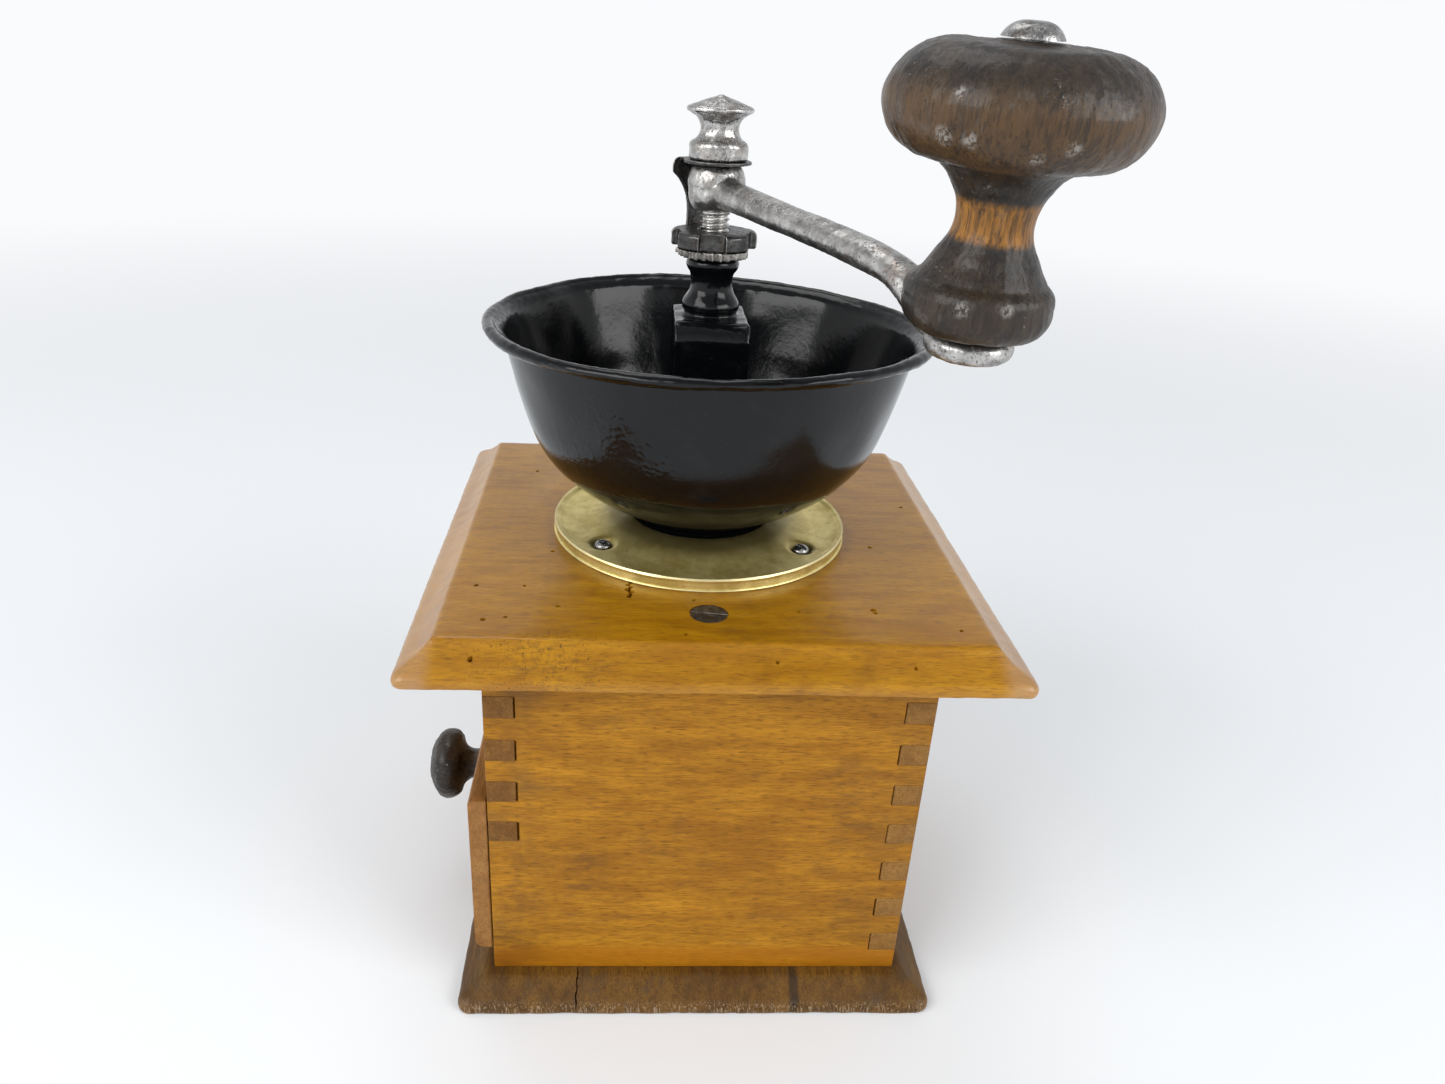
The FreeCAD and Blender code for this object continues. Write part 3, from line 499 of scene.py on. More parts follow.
# -------------------- materials
def beech(name, grain, pale, deep, roughness=(0.5, 0.36), coat=0.0, specular=0.35, fleck=0.55,
          marks=None, scuff=0.3, edge=None, lines_seen=0.45):
    """Beech: soft figure, fine pores, short dark flecks. marks(look) gives stain masks and their colours."""
    look = Look(name)
    figure = look.noise(4, look.stretched(grain, 0.16), 5, 0.7, 0.15)
    broad = look.noise(38, look.stretched(grain, 0.45), 2)
    lines = look.noise(0.55, look.stretched(grain, 0.07), 4, 0.7)
    flecks = look.cloud(0.52, 0.68, 0.34, look.shifted(look.stretched(grain, 0.10), (0.3, 0.1, 0.7)), 2)
    pores = look.cloud(0.60, 0.74, 0.28, look.stretched(grain, 0.05), 2)
    tone = look.ramp(look.math("ADD", look.times(figure, 0.62), look.times(broad, 0.38)), 0.36, 0.64)
    colour = look.blend(tone, deep, pale)
    colour = look.tint(colour, [c * 0.62 for c in deep], look.ramp(lines, 0.38, 0.68), lines_seen)
    colour = look.tint(colour, [c * 0.30 for c in deep], flecks, fleck)
    colour = look.tint(colour, [c * 0.42 for c in deep], pores, 0.5)
    dirt = look.times(look.cloud(0.56, 0.74, 11, look.stretched(grain, 0.6), 5, 0.7), scuff)
    colour = look.tint(colour, [0.07, 0.042, 0.018], dirt)
    if marks:
        for mask, shade in marks(look):
            colour = look.tint(colour, shade, mask)
    if edge:
        colour = look.tint(colour, edge, look.wear(0.05, 0.28), look.between(look.noise(3), 0.25, 1.0))
    height = look.math("SUBTRACT", look.times(lines, 0.6), look.times(look.most(flecks, pores), 0.8))
    normal = look.bump(height, 0.05, 0.5)
    normal = look.bump(look.noise(16, look.stretched(grain, 0.35), 2), 0.35, 0.35, normal)
    rough = look.between(look.noise(5, look.stretched(grain, 0.3), 4, 0.7), *roughness)
    return look.finish(colour, rough, normal, coat=coat, coat_roughness=0.13, specular=specular)


def wall_marks(look):
    """Water stain in the front low corner, dirt by the finger ends, warmer foot, scuffs."""
    low_front = look.times(look.axis("y", -33, -55), look.axis("z", 30, 11), look.axis("x", 30, 50))
    streaky = look.cloud(0.40, 0.62, 5, look.stretched("y", 0.25), 5, 0.7)
    yield look.times(low_front, streaky, 1.0), [0.035, 0.016, 0.005]
    ends = look.most(look.axis("y", -37, -50), look.times(look.axis("y", 44, 56), 0.8))
    yield look.times(ends, look.cloud(0.40, 0.62, 9, None, 5, 0.7), 0.5), [0.17, 0.075, 0.012]
    yield look.times(look.axis("z", 18.5, 14.5), 0.60), [0.36, 0.125, 0.003]
    smudge = look.cloud(0.42, 0.66, 6, look.stretched("y", 0.35), 5, 0.7)
    for centre, radius in (((60, -32, 46), 7), ((60, -30, 33), 6), ((60, 42, 74), 9), ((60, 46, 60), 7),
                           ((60, -48, 108), 6), ((60, 20, 116), 10)):
        yield look.times(look.spot(centre, radius * 0.4, radius * 1.5), smudge, 0.62), [0.125, 0.058, 0.014]
    band = look.cloud(0.60, 0.74, 13, look.stretched("y", 0.25), 4, 0.6)
    yield look.times(band, 0.35), [0.15, 0.072, 0.016]


def top_marks(look):
    """Dirt round the ring, spill marks, scratches and dirt on the near edge, and a painted sheen that makes
    the sides paler.
    """
    around = look.times(look.spot((0, 0, DECK_Z), RING_R + 0.5, 4.0), look.between(look.noise(4), 0.2, 1.0))
    yield look.times(around, 0.6), [0.07, 0.03, 0.006]
    patch = look.times(look.cloud(0.54, 0.72, 24, None, 5, 0.62), 0.35)
    yield patch, [0.13, 0.052, 0.006]
    scratched = look.times(look.cloud(0.62, 0.7, 0.5, look.stretched("x", 0.06), 2),
                           look.axis("x", 62, 69), look.spot((70, -42, DECK_Z), 12, 14))
    yield look.times(scratched, 0.75), [0.05, 0.022, 0.006]
    # Painted sheen: the board's two sides are paled towards grey, standing in for glare on the varnish.
    side = look.most(look.axis("y", -66, -71), look.axis("y", 70, 75))
    yield look.times(side, look.between(look.noise(6), 0.2, 0.6)), [0.40, 0.26, 0.16]
    dirty = look.times(look.spot((72, -40, DECK_Z - 4), 4, 9), look.cloud(0.46, 0.6, 1.6, None, 5, 0.7))
    yield look.times(dirty, 0.35), [0.08, 0.040, 0.010]


def base_marks(look):
    """One dark burn line across the near edge, grey dirt, pale ticks along the low edges."""
    line = look.times(look.axis("y", 29.2, 30.4), look.axis("y", 33.2, 32.0), look.axis("x", 56, 60))
    yield look.times(line, look.between(look.noise(2), 0.5, 1.0)), [0.02, 0.013, 0.008]
    grime = look.cloud(0.50, 0.68, 7, look.stretched("x", 0.5), 5, 0.7)
    yield look.times(grime, 0.55), [0.06, 0.04, 0.022]
    edge = look.times(look.most(look.axis("x", 65.5, 68.5), look.axis("x", -65.5, -68.5)),
                      look.axis("z", 4.6, 3.0))
    ticks = look.cloud(0.52, 0.64, 0.45, look.stretched("z", 0.12), 3, 0.6)
    yield look.times(edge, ticks, 0.7), [0.34, 0.25, 0.16]


def black_gloss(name, size_of_waves, peel=None):
    """Thick black gloss over iron: dust, worn edges, soft waves, and orange peel where peel(look) says."""
    look = Look(name)
    dull = look.cloud(0.52, 0.75, 9, None, 5, 0.7)
    colour = look.blend(dull, [0.0022, 0.0026, 0.0032], [0.0065, 0.0068, 0.0072])
    specks = look.cloud(0.70, 0.78, 0.55, None, 2)
    colour = look.tint(colour, [0.07, 0.065, 0.06], specks, 0.35)
    rough = look.between(look.noise(6, None, 4, 0.6), 0.09, 0.20)
    chipped = look.times(look.wear(0.10, 0.30), look.cloud(0.52, 0.62, 1.1, None, 5, 0.7))
    colour = look.tint(colour, [0.10, 0.085, 0.075], chipped, 0.45)
    rough = look.math("ADD", rough, look.times(chipped, 0.2))
    normal = look.bump(look.noise(size_of_waves, None, 2), 0.4, 0.16)
    normal = look.bump(look.noise(1.9, None, 4, 0.6), 0.08, 0.40, normal)
    if peel:
        lumps = look.times(look.cells(1.25, look.shifted(look.coords, (0.2, 0.1, 0.4))), peel(look))
        normal = look.bump(lumps, 0.20, 0.7, normal)
    return look.finish(colour, rough, normal, specular=0.30)


def bowl_peel(look):
    """Where the bowl's coat is wrinkled: outside, on the near left, and faintly all over."""
    outside = look.times(look.spot((45, -27, 163), 10, 15), look.axis("z", 189, 182))
    return look.most(look.times(outside, look.cloud(0.36, 0.60, 7)), 0.08)


def aged_brass():
    look = Look("aged_brass")
    flat = look.node("SeparateXYZ", {0: look.coords})
    radius = look.math("SQRT", look.math("ADD", look.math("POWER", flat.outputs["X"], 2.0),
                                         look.math("POWER", flat.outputs["Y"], 2.0)), 0.0)
    cloud = look.noise(7, None, 5, 0.65)
    colour = look.blend(look.ramp(cloud, 0.34, 0.66), [0.62, 0.49, 0.15], [0.88, 0.74, 0.30])
    # Painted shade: the ring is darkened towards its inner edge, where it lies under the bowl's overhang.
    inner = look.ramp(radius, 33 * MM, 25 * MM)
    colour = look.tint(colour, [0.13, 0.095, 0.035], inner, 0.75)
    for x, y in SCREW_PLACES:
        near = look.spot((x, y, DECK_Z + 3.0), 2.7, 2.2)
        colour = look.tint(colour, [0.10, 0.062, 0.035], near, look.between(look.noise(2), 0.35, 0.95))
    spots = look.cloud(0.62, 0.72, 1.3, None, 4, 0.7)
    colour = look.tint(colour, [0.13, 0.09, 0.045], spots, 0.5)
    colour = look.tint(colour, [0.72, 0.63, 0.36], look.wear(0.08, 0.30))
    rings = look.node("TexNoise", {"Vector": look.node("CombineXYZ", {0: radius}).outputs[0],
                                   "Scale": 3200.0, "Detail": 2.0}).outputs["Fac"]
    normal = look.bump(rings, 0.02, 0.5)
    normal = look.bump(look.noise(5, None, 3), 0.18, 0.35, normal)
    rough = look.between(look.noise(2.4, None, 4, 0.7), 0.30, 0.46)
    return look.finish(colour, rough, normal, metallic=0.80)


def steel(name, bright, dark, rust, pits=0.5, roughness=(0.24, 0.46), edge=None,
          rust_amount=0.35, relief=0.55):
    """Old steel: mottled, pitted, brown in places."""
    look = Look(name)
    mottle = look.cloud(0.34, 0.66, 3.0, None, 6, 0.72)
    colour = look.blend(mottle, dark, bright)
    brown = look.times(look.cloud(0.50, 0.68, 4.4, look.shifted(look.coords, (0.5, 0.2, 0.1)), 5, 0.65),
                       rust_amount)
    colour = look.tint(colour, rust, brown)
    holes = look.times(look.cloud(0.54, 0.62, 0.55, look.shifted(look.coords, (0.1, 0.9, 0.3)), 4, 0.6),
                       look.cloud(0.36, 0.56, 5, look.shifted(look.coords, (0.9, 0.9, 0.3)), 3))
    colour = look.tint(colour, [c * 0.22 for c in dark], holes, pits)
    if edge:
        colour = look.tint(colour, edge, look.wear(0.06, 0.24), 0.85)
    rough = look.math("ADD", look.between(look.noise(1.4, None, 4, 0.7), *roughness), look.times(holes, 0.2))
    normal = look.bump(look.math("SUBTRACT", look.times(look.noise(1.1, None, 5, 0.7), 0.5),
                                 look.times(holes, 0.8)), 0.12, relief)
    return look.finish(colour, rough, normal, metallic=1.0)


def old_knob(name, bands, tint, size, spots=()):
    """Dark varnished wood, worn to amber in bands(look), with pale chips and a grey painted sheen on its
    glossy varnish patches.
    """
    look = Look(name, lathe_coords=True)
    streak = look.noise(0.75, look.stretched("z", 0.07), 5, 0.7)
    broad = look.noise(7, look.stretched("z", 0.5), 4, 0.6)
    dark = look.blend(look.ramp(broad, 0.36, 0.66), [0.005, 0.003, 0.002], [0.026, 0.016, 0.008])
    colour = look.blend(look.times(look.ramp(streak, 0.46, 0.66), 0.40), dark, [0.055, 0.036, 0.020])
    for mask, strength, shade in bands(look):
        mixed = look.math("ADD", streak, look.times(broad, 0.6))
        streaky = look.between(look.ramp(mixed, 0.56, 0.94), 0.2, 1.0)
        colour = look.tint(colour, shade, mask, streaky, strength)
    lines = look.cloud(0.57, 0.66, 0.5, look.stretched("z", 0.05), 3, 0.6)
    colour = look.tint(colour, [0.014, 0.009, 0.006], lines, 0.5)
    # Painted sheen: the grey tint in these glossy varnish patches stands in for the lamps' reflection; the
    # same patches are also made less rough.
    gloss_and_painted_sheen = look.cloud(0.56, 0.68, 5.5 * size, look.shifted(look.coords, (0.4, 0.2, 0.9)), 6, 0.72)
    colour = look.tint(colour, tint, gloss_and_painted_sheen, 0.22)
    chips = look.times(look.cloud(0.60, 0.67, 1.0, None, 4, 0.7),
                       look.cloud(0.56, 0.66, 8 * size, look.shifted(look.coords, (0.7, 0.1, 0.2)), 2))
    for angle, r, z, spot_r in spots:
        a = math.radians(angle)
        near = look.spot((r * math.cos(a), r * math.sin(a), z), spot_r * 0.2, spot_r * 0.8)
        scraped = look.noise(0.7, look.stretched("z", 0.6), 4, 0.7)
        chips = look.most(chips, look.times(near, look.ramp(scraped, 0.44, 0.54)))
    colour = look.tint(colour, [0.36, 0.34, 0.31], chips, 0.6)
    height = look.math("SUBTRACT", look.noise(1.3, look.stretched("z", 0.3), 6, 0.7), look.times(lines, 0.5))
    normal = look.bump(height, 0.30, 0.9)
    rough = look.between(gloss_and_painted_sheen, 0.44, 0.26)
    return look.finish(colour, rough, normal, coat=0.2, coat_roughness=0.16, specular=0.32)


def crank_knob_bands(look):
    yield look.times(look.axis("z", 29, 34), look.axis("z", 46, 40)), 0.6, [0.11, 0.052, 0.011]
    yield look.times(look.axis("z", 17.0, 18.6), look.axis("z", 25.5, 23.5)), 1.0, [0.30, 0.122, 0.009]


# Pale chips on the knob: direction round its axis, radius, height, size
KNOB_CHIPS = [(-71, 22.5, 36.0, 2.4), (-59, 22.5, 36.0, 2.0), (-31, 21.6, 34.0, 1.8), (-18, 22.3, 36.4, 1.8),
              (-66, 23.4, 42.8, 1.6), (-52, 13.6, 7.6, 2.0), (-80, 13.0, 4.6, 1.6), (-20, 13.4, 8.2, 1.8),
              (130, 22.5, 37.0, 2.2), (65, 13.2, 6.0, 2.0)]


def pull_bands(look):
    yield look.axis("z", 9, 3), 0.6, [0.20, 0.10, 0.035]


def old_hole():
    """Dark crumbling wood inside cracks and worm holes."""
    look = Look("old_hole")
    crumbs = look.noise(0.6, None, 4, 0.7)
    colour = look.blend(look.ramp(crumbs, 0.4, 0.7), [0.006, 0.004, 0.002], [0.030, 0.016, 0.006])
    return look.finish(colour, look.between(crumbs, 0.8, 0.95), look.bump(crumbs, 0.2, 0.6), specular=0.1)


GREY_STEEL = dict(bright=[0.58, 0.57, 0.555], dark=[0.26, 0.25, 0.24], rust=[0.24, 0.16, 0.11])
NEAR_BLACK = dict(bright=[0.115, 0.115, 0.11], dark=[0.045, 0.045, 0.045], rust=[0.10, 0.065, 0.045])

LOOKS = {
    "hole": old_hole(),
    "wall": beech("honey_beech", "y", [0.48, 0.212, 0.010], [0.285, 0.112, 0.004], marks=wall_marks,
                  scuff=0.30, specular=0.2, fleck=0.50, lines_seen=0.50),
    "front_board": beech("front_beech", "x", [0.25, 0.115, 0.022], [0.15, 0.062, 0.010], scuff=0.4,
                         specular=0.2),
    "back_wall": beech("back_beech", "x", [0.31, 0.155, 0.036], [0.21, 0.095, 0.018], scuff=0.3,
                       specular=0.2),
    "top": beech("varnished_beech", "y", [0.46, 0.215, 0.005], [0.30, 0.122, 0.002], roughness=(0.40, 0.26),
                 coat=0.3, specular=0.3, marks=top_marks, scuff=0.30, lines_seen=0.18, fleck=0.40),
    "base": beech("grey_beech", "x", [0.175, 0.084, 0.012], [0.080, 0.034, 0.004], roughness=(0.55, 0.40),
                  specular=0.25, marks=base_marks, scuff=0.45, edge=[0.34, 0.20, 0.09]),
    "drawer_front": beech("rosy_beech", "x", [0.37, 0.18, 0.050], [0.25, 0.105, 0.022], scuff=0.35,
                          specular=0.25, edge=[0.32, 0.18, 0.08]),
    "bare": beech("bare_beech", "y", [0.60, 0.43, 0.25], [0.46, 0.31, 0.16], roughness=(0.7, 0.55),
                  scuff=0.35),
    "bare_across": beech("bare_beech_across", "x", [0.58, 0.41, 0.23], [0.44, 0.29, 0.15],
                         roughness=(0.7, 0.55), scuff=0.45),
    "bowl": black_gloss("black_enamel", 16, bowl_peel),
    "casting": black_gloss("black_casting", 5),
    "brass": aged_brass(),
    "forged": steel("forged_steel", pits=0.75, **GREY_STEEL),
    "finial": steel("turned_steel", pits=0.6, roughness=(0.18, 0.36), edge=[0.75, 0.74, 0.72],
                    **GREY_STEEL),
    "thread": steel("bright_thread", [0.66, 0.655, 0.64], [0.40, 0.39, 0.37], [0.26, 0.20, 0.15], pits=0.2,
                    roughness=(0.20, 0.34), edge=[0.85, 0.84, 0.82], relief=0.1),
    "dark_steel": steel("dark_steel", pits=0.4, roughness=(0.28, 0.42), edge=[0.52, 0.51, 0.49],
                        **NEAR_BLACK),
    "washer": steel("washer_steel", [0.46, 0.44, 0.41], [0.12, 0.11, 0.10], [0.16, 0.10, 0.07], pits=0.5,
                    edge=[0.66, 0.64, 0.60]),
    "screws": steel("rusty_screws", [0.42, 0.36, 0.30], [0.17, 0.135, 0.11], [0.22, 0.10, 0.05], pits=0.5,
                    roughness=(0.34, 0.52), edge=[0.42, 0.38, 0.33], rust_amount=0.75),
    "studs": steel("stud_steel", [0.50, 0.50, 0.49], [0.16, 0.155, 0.15], [0.16, 0.11, 0.08], pits=0.4,
                   roughness=(0.18, 0.34)),
    "burr": steel("burr_steel", [0.24, 0.23, 0.22], [0.10, 0.095, 0.09], [0.14, 0.08, 0.05], pits=0.4,
                  roughness=(0.4, 0.6)),
    # The grey third value of each knob's look is the colour of its painted sheen.
    "crank_knob": old_knob("weathered_knob", crank_knob_bands, [0.13, 0.125, 0.12], 1.0, KNOB_CHIPS),
    "pull": old_knob("dark_pull", pull_bands, [0.09, 0.075, 0.06], 0.5),
}


# -------------------- boards
def board_rings(low_corner, high_corner, outline, corner_r, side_count, corner_count=7):
    """Rings of points round a board, one for each (inset, height) of its edge outline."""
    cx, cy = (low_corner.x + high_corner.x) / 2, (low_corner.y + high_corner.y) / 2
    half_x, half_y = (high_corner.x - low_corner.x) / 2, (high_corner.y - low_corner.y) / 2
    rings = []
    for inset, height in outline:
        r = max(corner_r - inset * 0.25, 0.5)
        hx, hy = half_x - inset, half_y - inset
        ring = []
        for quarter, (sx, sy) in enumerate(((1, 1), (-1, 1), (-1, -1), (1, -1))):
            for i in range(corner_count):
                a = math.radians(90 * (quarter + i / (corner_count - 1)))
                ring.append((cx + sx * (hx - r) + r * math.cos(a), cy + sy * (hy - r) + r * math.sin(a),
                             low_corner.z + height))
            next_x, next_y = (-sx, sy) if quarter % 2 == 0 else (sx, -sy)
            a = math.radians(90 * (quarter + 1))
            start, end = (Vector((cx + ox * (hx - r) + r * math.cos(a), cy + oy * (hy - r) + r * math.sin(a)))
                          for ox, oy in ((sx, sy), (next_x, next_y)))
            for i in range(1, side_count):
                p = start.lerp(end, i / side_count)
                ring.append((p.x, p.y, low_corner.z + height))
        rings.append(ring)
    return rings


def board(name, node, outline, corner_r, side_count=70):
    """Board with one moulded outline round its four edges."""
    rings = board_rings(low(node), high(node), outline, corner_r, side_count)
    return make_mesh(name, [p for ring in rings for p in ring], skinned(len(rings), len(rings[0])))


def keep_flat(lower, upper, reach=1.2):
    """How much a board may be roughened: not on its flat upper and lower faces, fully at its edges."""
    def scale(p):
        inside = min(p[0] - lower.x, upper.x - p[0], p[1] - lower.y, upper.y - p[1])
        flat = min(abs(p[2] - upper.z), abs(p[2] - lower.z))
        return 0.0 if flat < 0.02 and inside > reach else 1.0
    return scale


WORM_HOLES = [(20, -42.3, 0.65), (41.6, -60.7, 0.7), (41.3, -48.2, 0.6), (52.1, -38.6, 0.75),
              (59.6, -56.7, 0.8),
              (58.3, -51.3, 0.55), (47.3, -3.5, 0.6), (65.3, -6.2, 0.7), (52.4, 23.5, 0.65),
              (12.7, 49.9, 0.75),
              (51.0, 43.2, 1.0), (52.6, 43.5, 0.7), (61, 64, 0.6), (72.5, -58, 0.85), (72.0, 16, 0.6),
              (72.8, 50, 0.65), (-41, -52, 0.7), (-36, 31, 0.6), (-62, 12, 0.8), (-18, 66, 0.6),
              (-57, -33, 0.6)]
WORM_TRACK = [(38.2, -20.2), (39.6, -20.9), (41.0, -20.2), (42.3, -20.8), (43.6, -19.9), (45.0, -20.3),
              (46.3, -20.6)]


def make_top():
    lower, upper = TOP_LOW, TOP_HIGH
    t = upper.z - lower.z
    nose, bevel = 2.4, 9.4
    rise = t - nose
    edge = [(14, 0), (0.9, 0), (0.15, 0.3), (0, 0.9), (0, 1.6), (0.2, 2.4), (0.7, 3.2), (1.6, 3.8),
            (2.8, 4.5)]
    edge += through((2.8, 4.5), (bevel * 0.56, nose + rise * 0.50), (bevel - 1.1, t - 1.0), 1.2)
    edge += [(bevel - 0.65, t - 0.42), (bevel, t - 0.1), (bevel + 0.7, t), (bevel + 2.4, t)]
    mesh = board("top_board", "top_plate", edge, 3.2)
    keep = keep_flat(lower, upper, bevel + 1.5)
    roughened(mesh, 0.14, 14, keep=keep, bias=-0.4)
    roughened(mesh, 0.13, 2.2, keep=keep, bias=-0.3)
    mark_wear(within(mesh, lower, upper), 1)
    cuts = [ragged_hole(x, y, r, DECK_Z - 6.5, DECK_Z + 1) for x, y, r in WORM_HOLES]
    cuts += [ragged_hole(x, y, random.uniform(0.7, 1.05), DECK_Z - 2.2, DECK_Z + 1) for x, y in WORM_TRACK]
    cuts.append(lathe("bore", [(0, lower.z - 1), (21.5, lower.z - 1), (21.5, DECK_Z + 1), (0, DECK_Z + 1)],
                      96))
    for side in (1, -1):
        seat = lathe("seat", [(0, lower.z - 1), (2.2, lower.z - 1), (2.2, DECK_Z - 3.0),
                              (5.05, DECK_Z - 0.45), (5.05, DECK_Z + 1), (0, DECK_Z + 1)], 48)
        seat.transform(Matrix.Translation((side * top_screw_x() * MM, 0, 0)))
        cuts.append(seat)
    mesh = carved(mesh, joined("cuts", cuts), LOOKS["top"], LOOKS["hole"])
    add_piece("top_board", mesh, "body", "top_wood", LOOKS["top"], ["top_plate"], 30)


def top_screw_x():
    return (low("top_plate_screws").x + high("top_plate_screws").x) / 2 + high("top_plate_screws").x - 4.9


def make_base():
    lower, upper = BASE_LOW, BASE_HIGH
    edge = [(14, 0), (1.0, 0), (0.25, 0.25), (0, 0.9), (0, 1.7), (0.1, 2.5), (0.5, 3.3), (1.2, 4.0),
            (2.4, 4.9),
            (4.2, 6.2), (5.8, 7.3), (7.2, 8.15), (7.9, 8.36), (8.8, 8.4), (10.1, 8.4)]
    mesh = board("base_board", "base_plate", edge, 4.2)
    keep = keep_flat(lower, upper, 9.0)
    roughened(mesh, 0.26, 9, keep=keep, bias=-0.4)
    roughened(mesh, 0.18, 2.0, keep=keep, bias=-0.3)
    mark_wear(within(mesh, lower, upper), 1)
    cracks = []
    x, y = upper.x + 1, -33.6
    for i in range(7):
        cracks.append(block("crack", (2.4, 0.42 - 0.03 * i, 7.6), (x - 1.7 * i, y, upper.z - 2.6),
                            8 * (-1) ** i))
        y += 0.22 * (-1) ** i + 0.05
    mesh = carved(mesh, joined("cracks", cracks), LOOKS["base"], LOOKS["hole"])
    add_piece("base_board", mesh, "body", "base_wood", LOOKS["base"], ["base_plate"], 30)


def joint_gaps(node):
    """Thin dark gaps at the ends of the cross boards' fingers, in a side wall's outer face."""
    lower, upper = low(node), high(node)
    outer_x = upper.x if upper.x > 0 else lower.x
    finger = (upper.z - lower.z) / 16
    gaps = []
    ends = ((high("front_board").y, 1, 9), (low("back_wall").y, -1, 16))
    for y, side, count in ends:
        for i in range(0, count, 2):
            width = random.uniform(0.35, 0.7)
            z = upper.z - (i + 0.5) * finger
            gaps.append(block("gap", (2.4, width, finger - 0.3), (outer_x, y + side * (width / 2 - 0.05), z)))
    return gaps


def make_walls():
    for node, look in (("near_side_wall", "wall"), ("far_side_wall", "wall"), ("front_board", "front_board"),
                       ("back_wall", "back_wall")):
        mesh = eased(node, 0.28)
        if "side" in node:
            mesh = carved(mesh, joined("gaps", joint_gaps(node)), LOOKS[look], LOOKS["hole"])
        add_piece(node + "_worn", mesh, "body", "box_wood", LOOKS[look], [node], 30)


def make_drawer():
    for node, look, slot in (("drawer_front", "drawer_front", "drawer_front_wood"),
                             ("drawer_near_side", "bare", "drawer_wood"),
                             ("drawer_far_side", "bare", "drawer_wood"),
                             ("drawer_back", "bare_across", "drawer_wood"),
                             ("drawer_bottom", "bare_across", "drawer_wood")):
        mesh = eased(node, 0.45 if node == "drawer_front" else 0.3)
        add_piece(node + "_worn", mesh, "drawer", slot, LOOKS[look], [node], 30)


# -------------------- turned wood
def knob_frame():
    """Matrix whose Z axis is the knob's pin, with its origin on the boss's face."""
    joint = JOINTS["knob_spin"]
    axis = Vector(joint["axis"]).normalized()
    level = Vector((-axis.y, axis.x, 0)).normalized()
    turn = Matrix((level.cross(axis), level, axis)).transposed().to_4x4()
    return Matrix.Translation(joint["pos_m"]) @ turn


def make_crank_knob():
    base = 0.3
    outline = [(3.1, base), (9.2, base), ("arc", (13.3, base + 2.2), (14.1, base + 6.4)),
               ("arc", (13.7, base + 8.8), (12.0, base + 10.4)),
               ("arc", (10.6, base + 12.6), (8.9, base + 15.4)),
               ("arc", (7.2, base + 20.5), (9.0, base + 26.2)),
               ("arc", (10.8, base + 28.6), (14.4, base + 30.4)),
               ("arc", (22.2, base + 35.0), (23.5, base + 40.4)),
               ("arc", (20.2, base + 46.4), (11.0, base + 49.2)),
               (5.8, base + 49.6), (3.1, base + 49.6)]
    mesh = lathe("crank_knob_turned", spread(outline, 0.55), 300, ring=True)

    def free(p):
        return 0.0 if math.hypot(p[0], p[1]) < 6.2 else 1.0
    worn(mesh, (0.40, 12), (0.16, 2.4, (1, 1, 2.0)), (0.09, 0.8, (1, 1, 6.0)), keep=free, bias=-0.3)
    stood_at(mesh, knob_frame())
    add_piece("crank_knob_turned", mesh, "knob", "knob_wood", LOOKS["crank_knob"], ["crank_knob"], 60)


def make_pull():
    length = 22.0
    seat = low("drawer_front").y
    outline = [(0, 0), (6.6, 0), ("arc", (5.2, 2.6), (5.0, 6.0)), ("arc", (6.2, 10.0), (9.4, 11.6)),
               ("arc", (11.6, 15.2), (8.9, 19.5)), ("arc", (5.0, 21.4), (0.6, length - 0.1)),
               (0, length - 0.1)]
    mesh = lathe("drawer_pull_turned", spread(outline, 0.4), 160)
    worn(mesh, (0.32, 5), (0.16, 1.2, (1, 1, 4.0)), bias=-0.2)
    z = (low("drawer_pull").z + high("drawer_pull").z) / 2
    stood_at(mesh, Matrix.Translation(Vector((0, seat, z)) * MM) @ Matrix.Rotation(math.radians(90), 4, "X"))
    add_piece("drawer_pull_turned", mesh, "drawer", "knob_wood", LOOKS["pull"], ["drawer_pull"], 60)


# -------------------- bowl, ring and their screws
def bowl_outside():
    points = [(19.6, DECK_Z + 5.4), (21.2, 134.9), (27.0, 138.3), (33.6, 142.2), (40.4, 147.6), (45.8, 153.6),
              (49.3, 160.6), (52.1, 170.0), (54.6, 179.6), (55.9, 184.6), (56.6, 187.0)]
    return flowing(points, 1.2)


def out_of_round(angle, r, z):
    """The bowl is a little oval and has a soft dent high on its far left."""
    height = max(0.0, min(1.0, (z - 140) / 50))
    oval = 1 + 0.010 * height * math.cos(2 * (angle - math.radians(75)))
    away = math.atan2(math.sin(angle - math.radians(-125)), math.cos(angle - math.radians(-125)))
    dent = 1.6 * height ** 2 * math.exp(-(away / 0.16) ** 2)
    ripple = 0.25 * height * noise.noise(Vector((2.2 * math.cos(angle), 2.2 * math.sin(angle), z / 40)))
    return r * oval - dent + ripple, z + 0.5 * height * math.sin(2 * angle + 0.6)


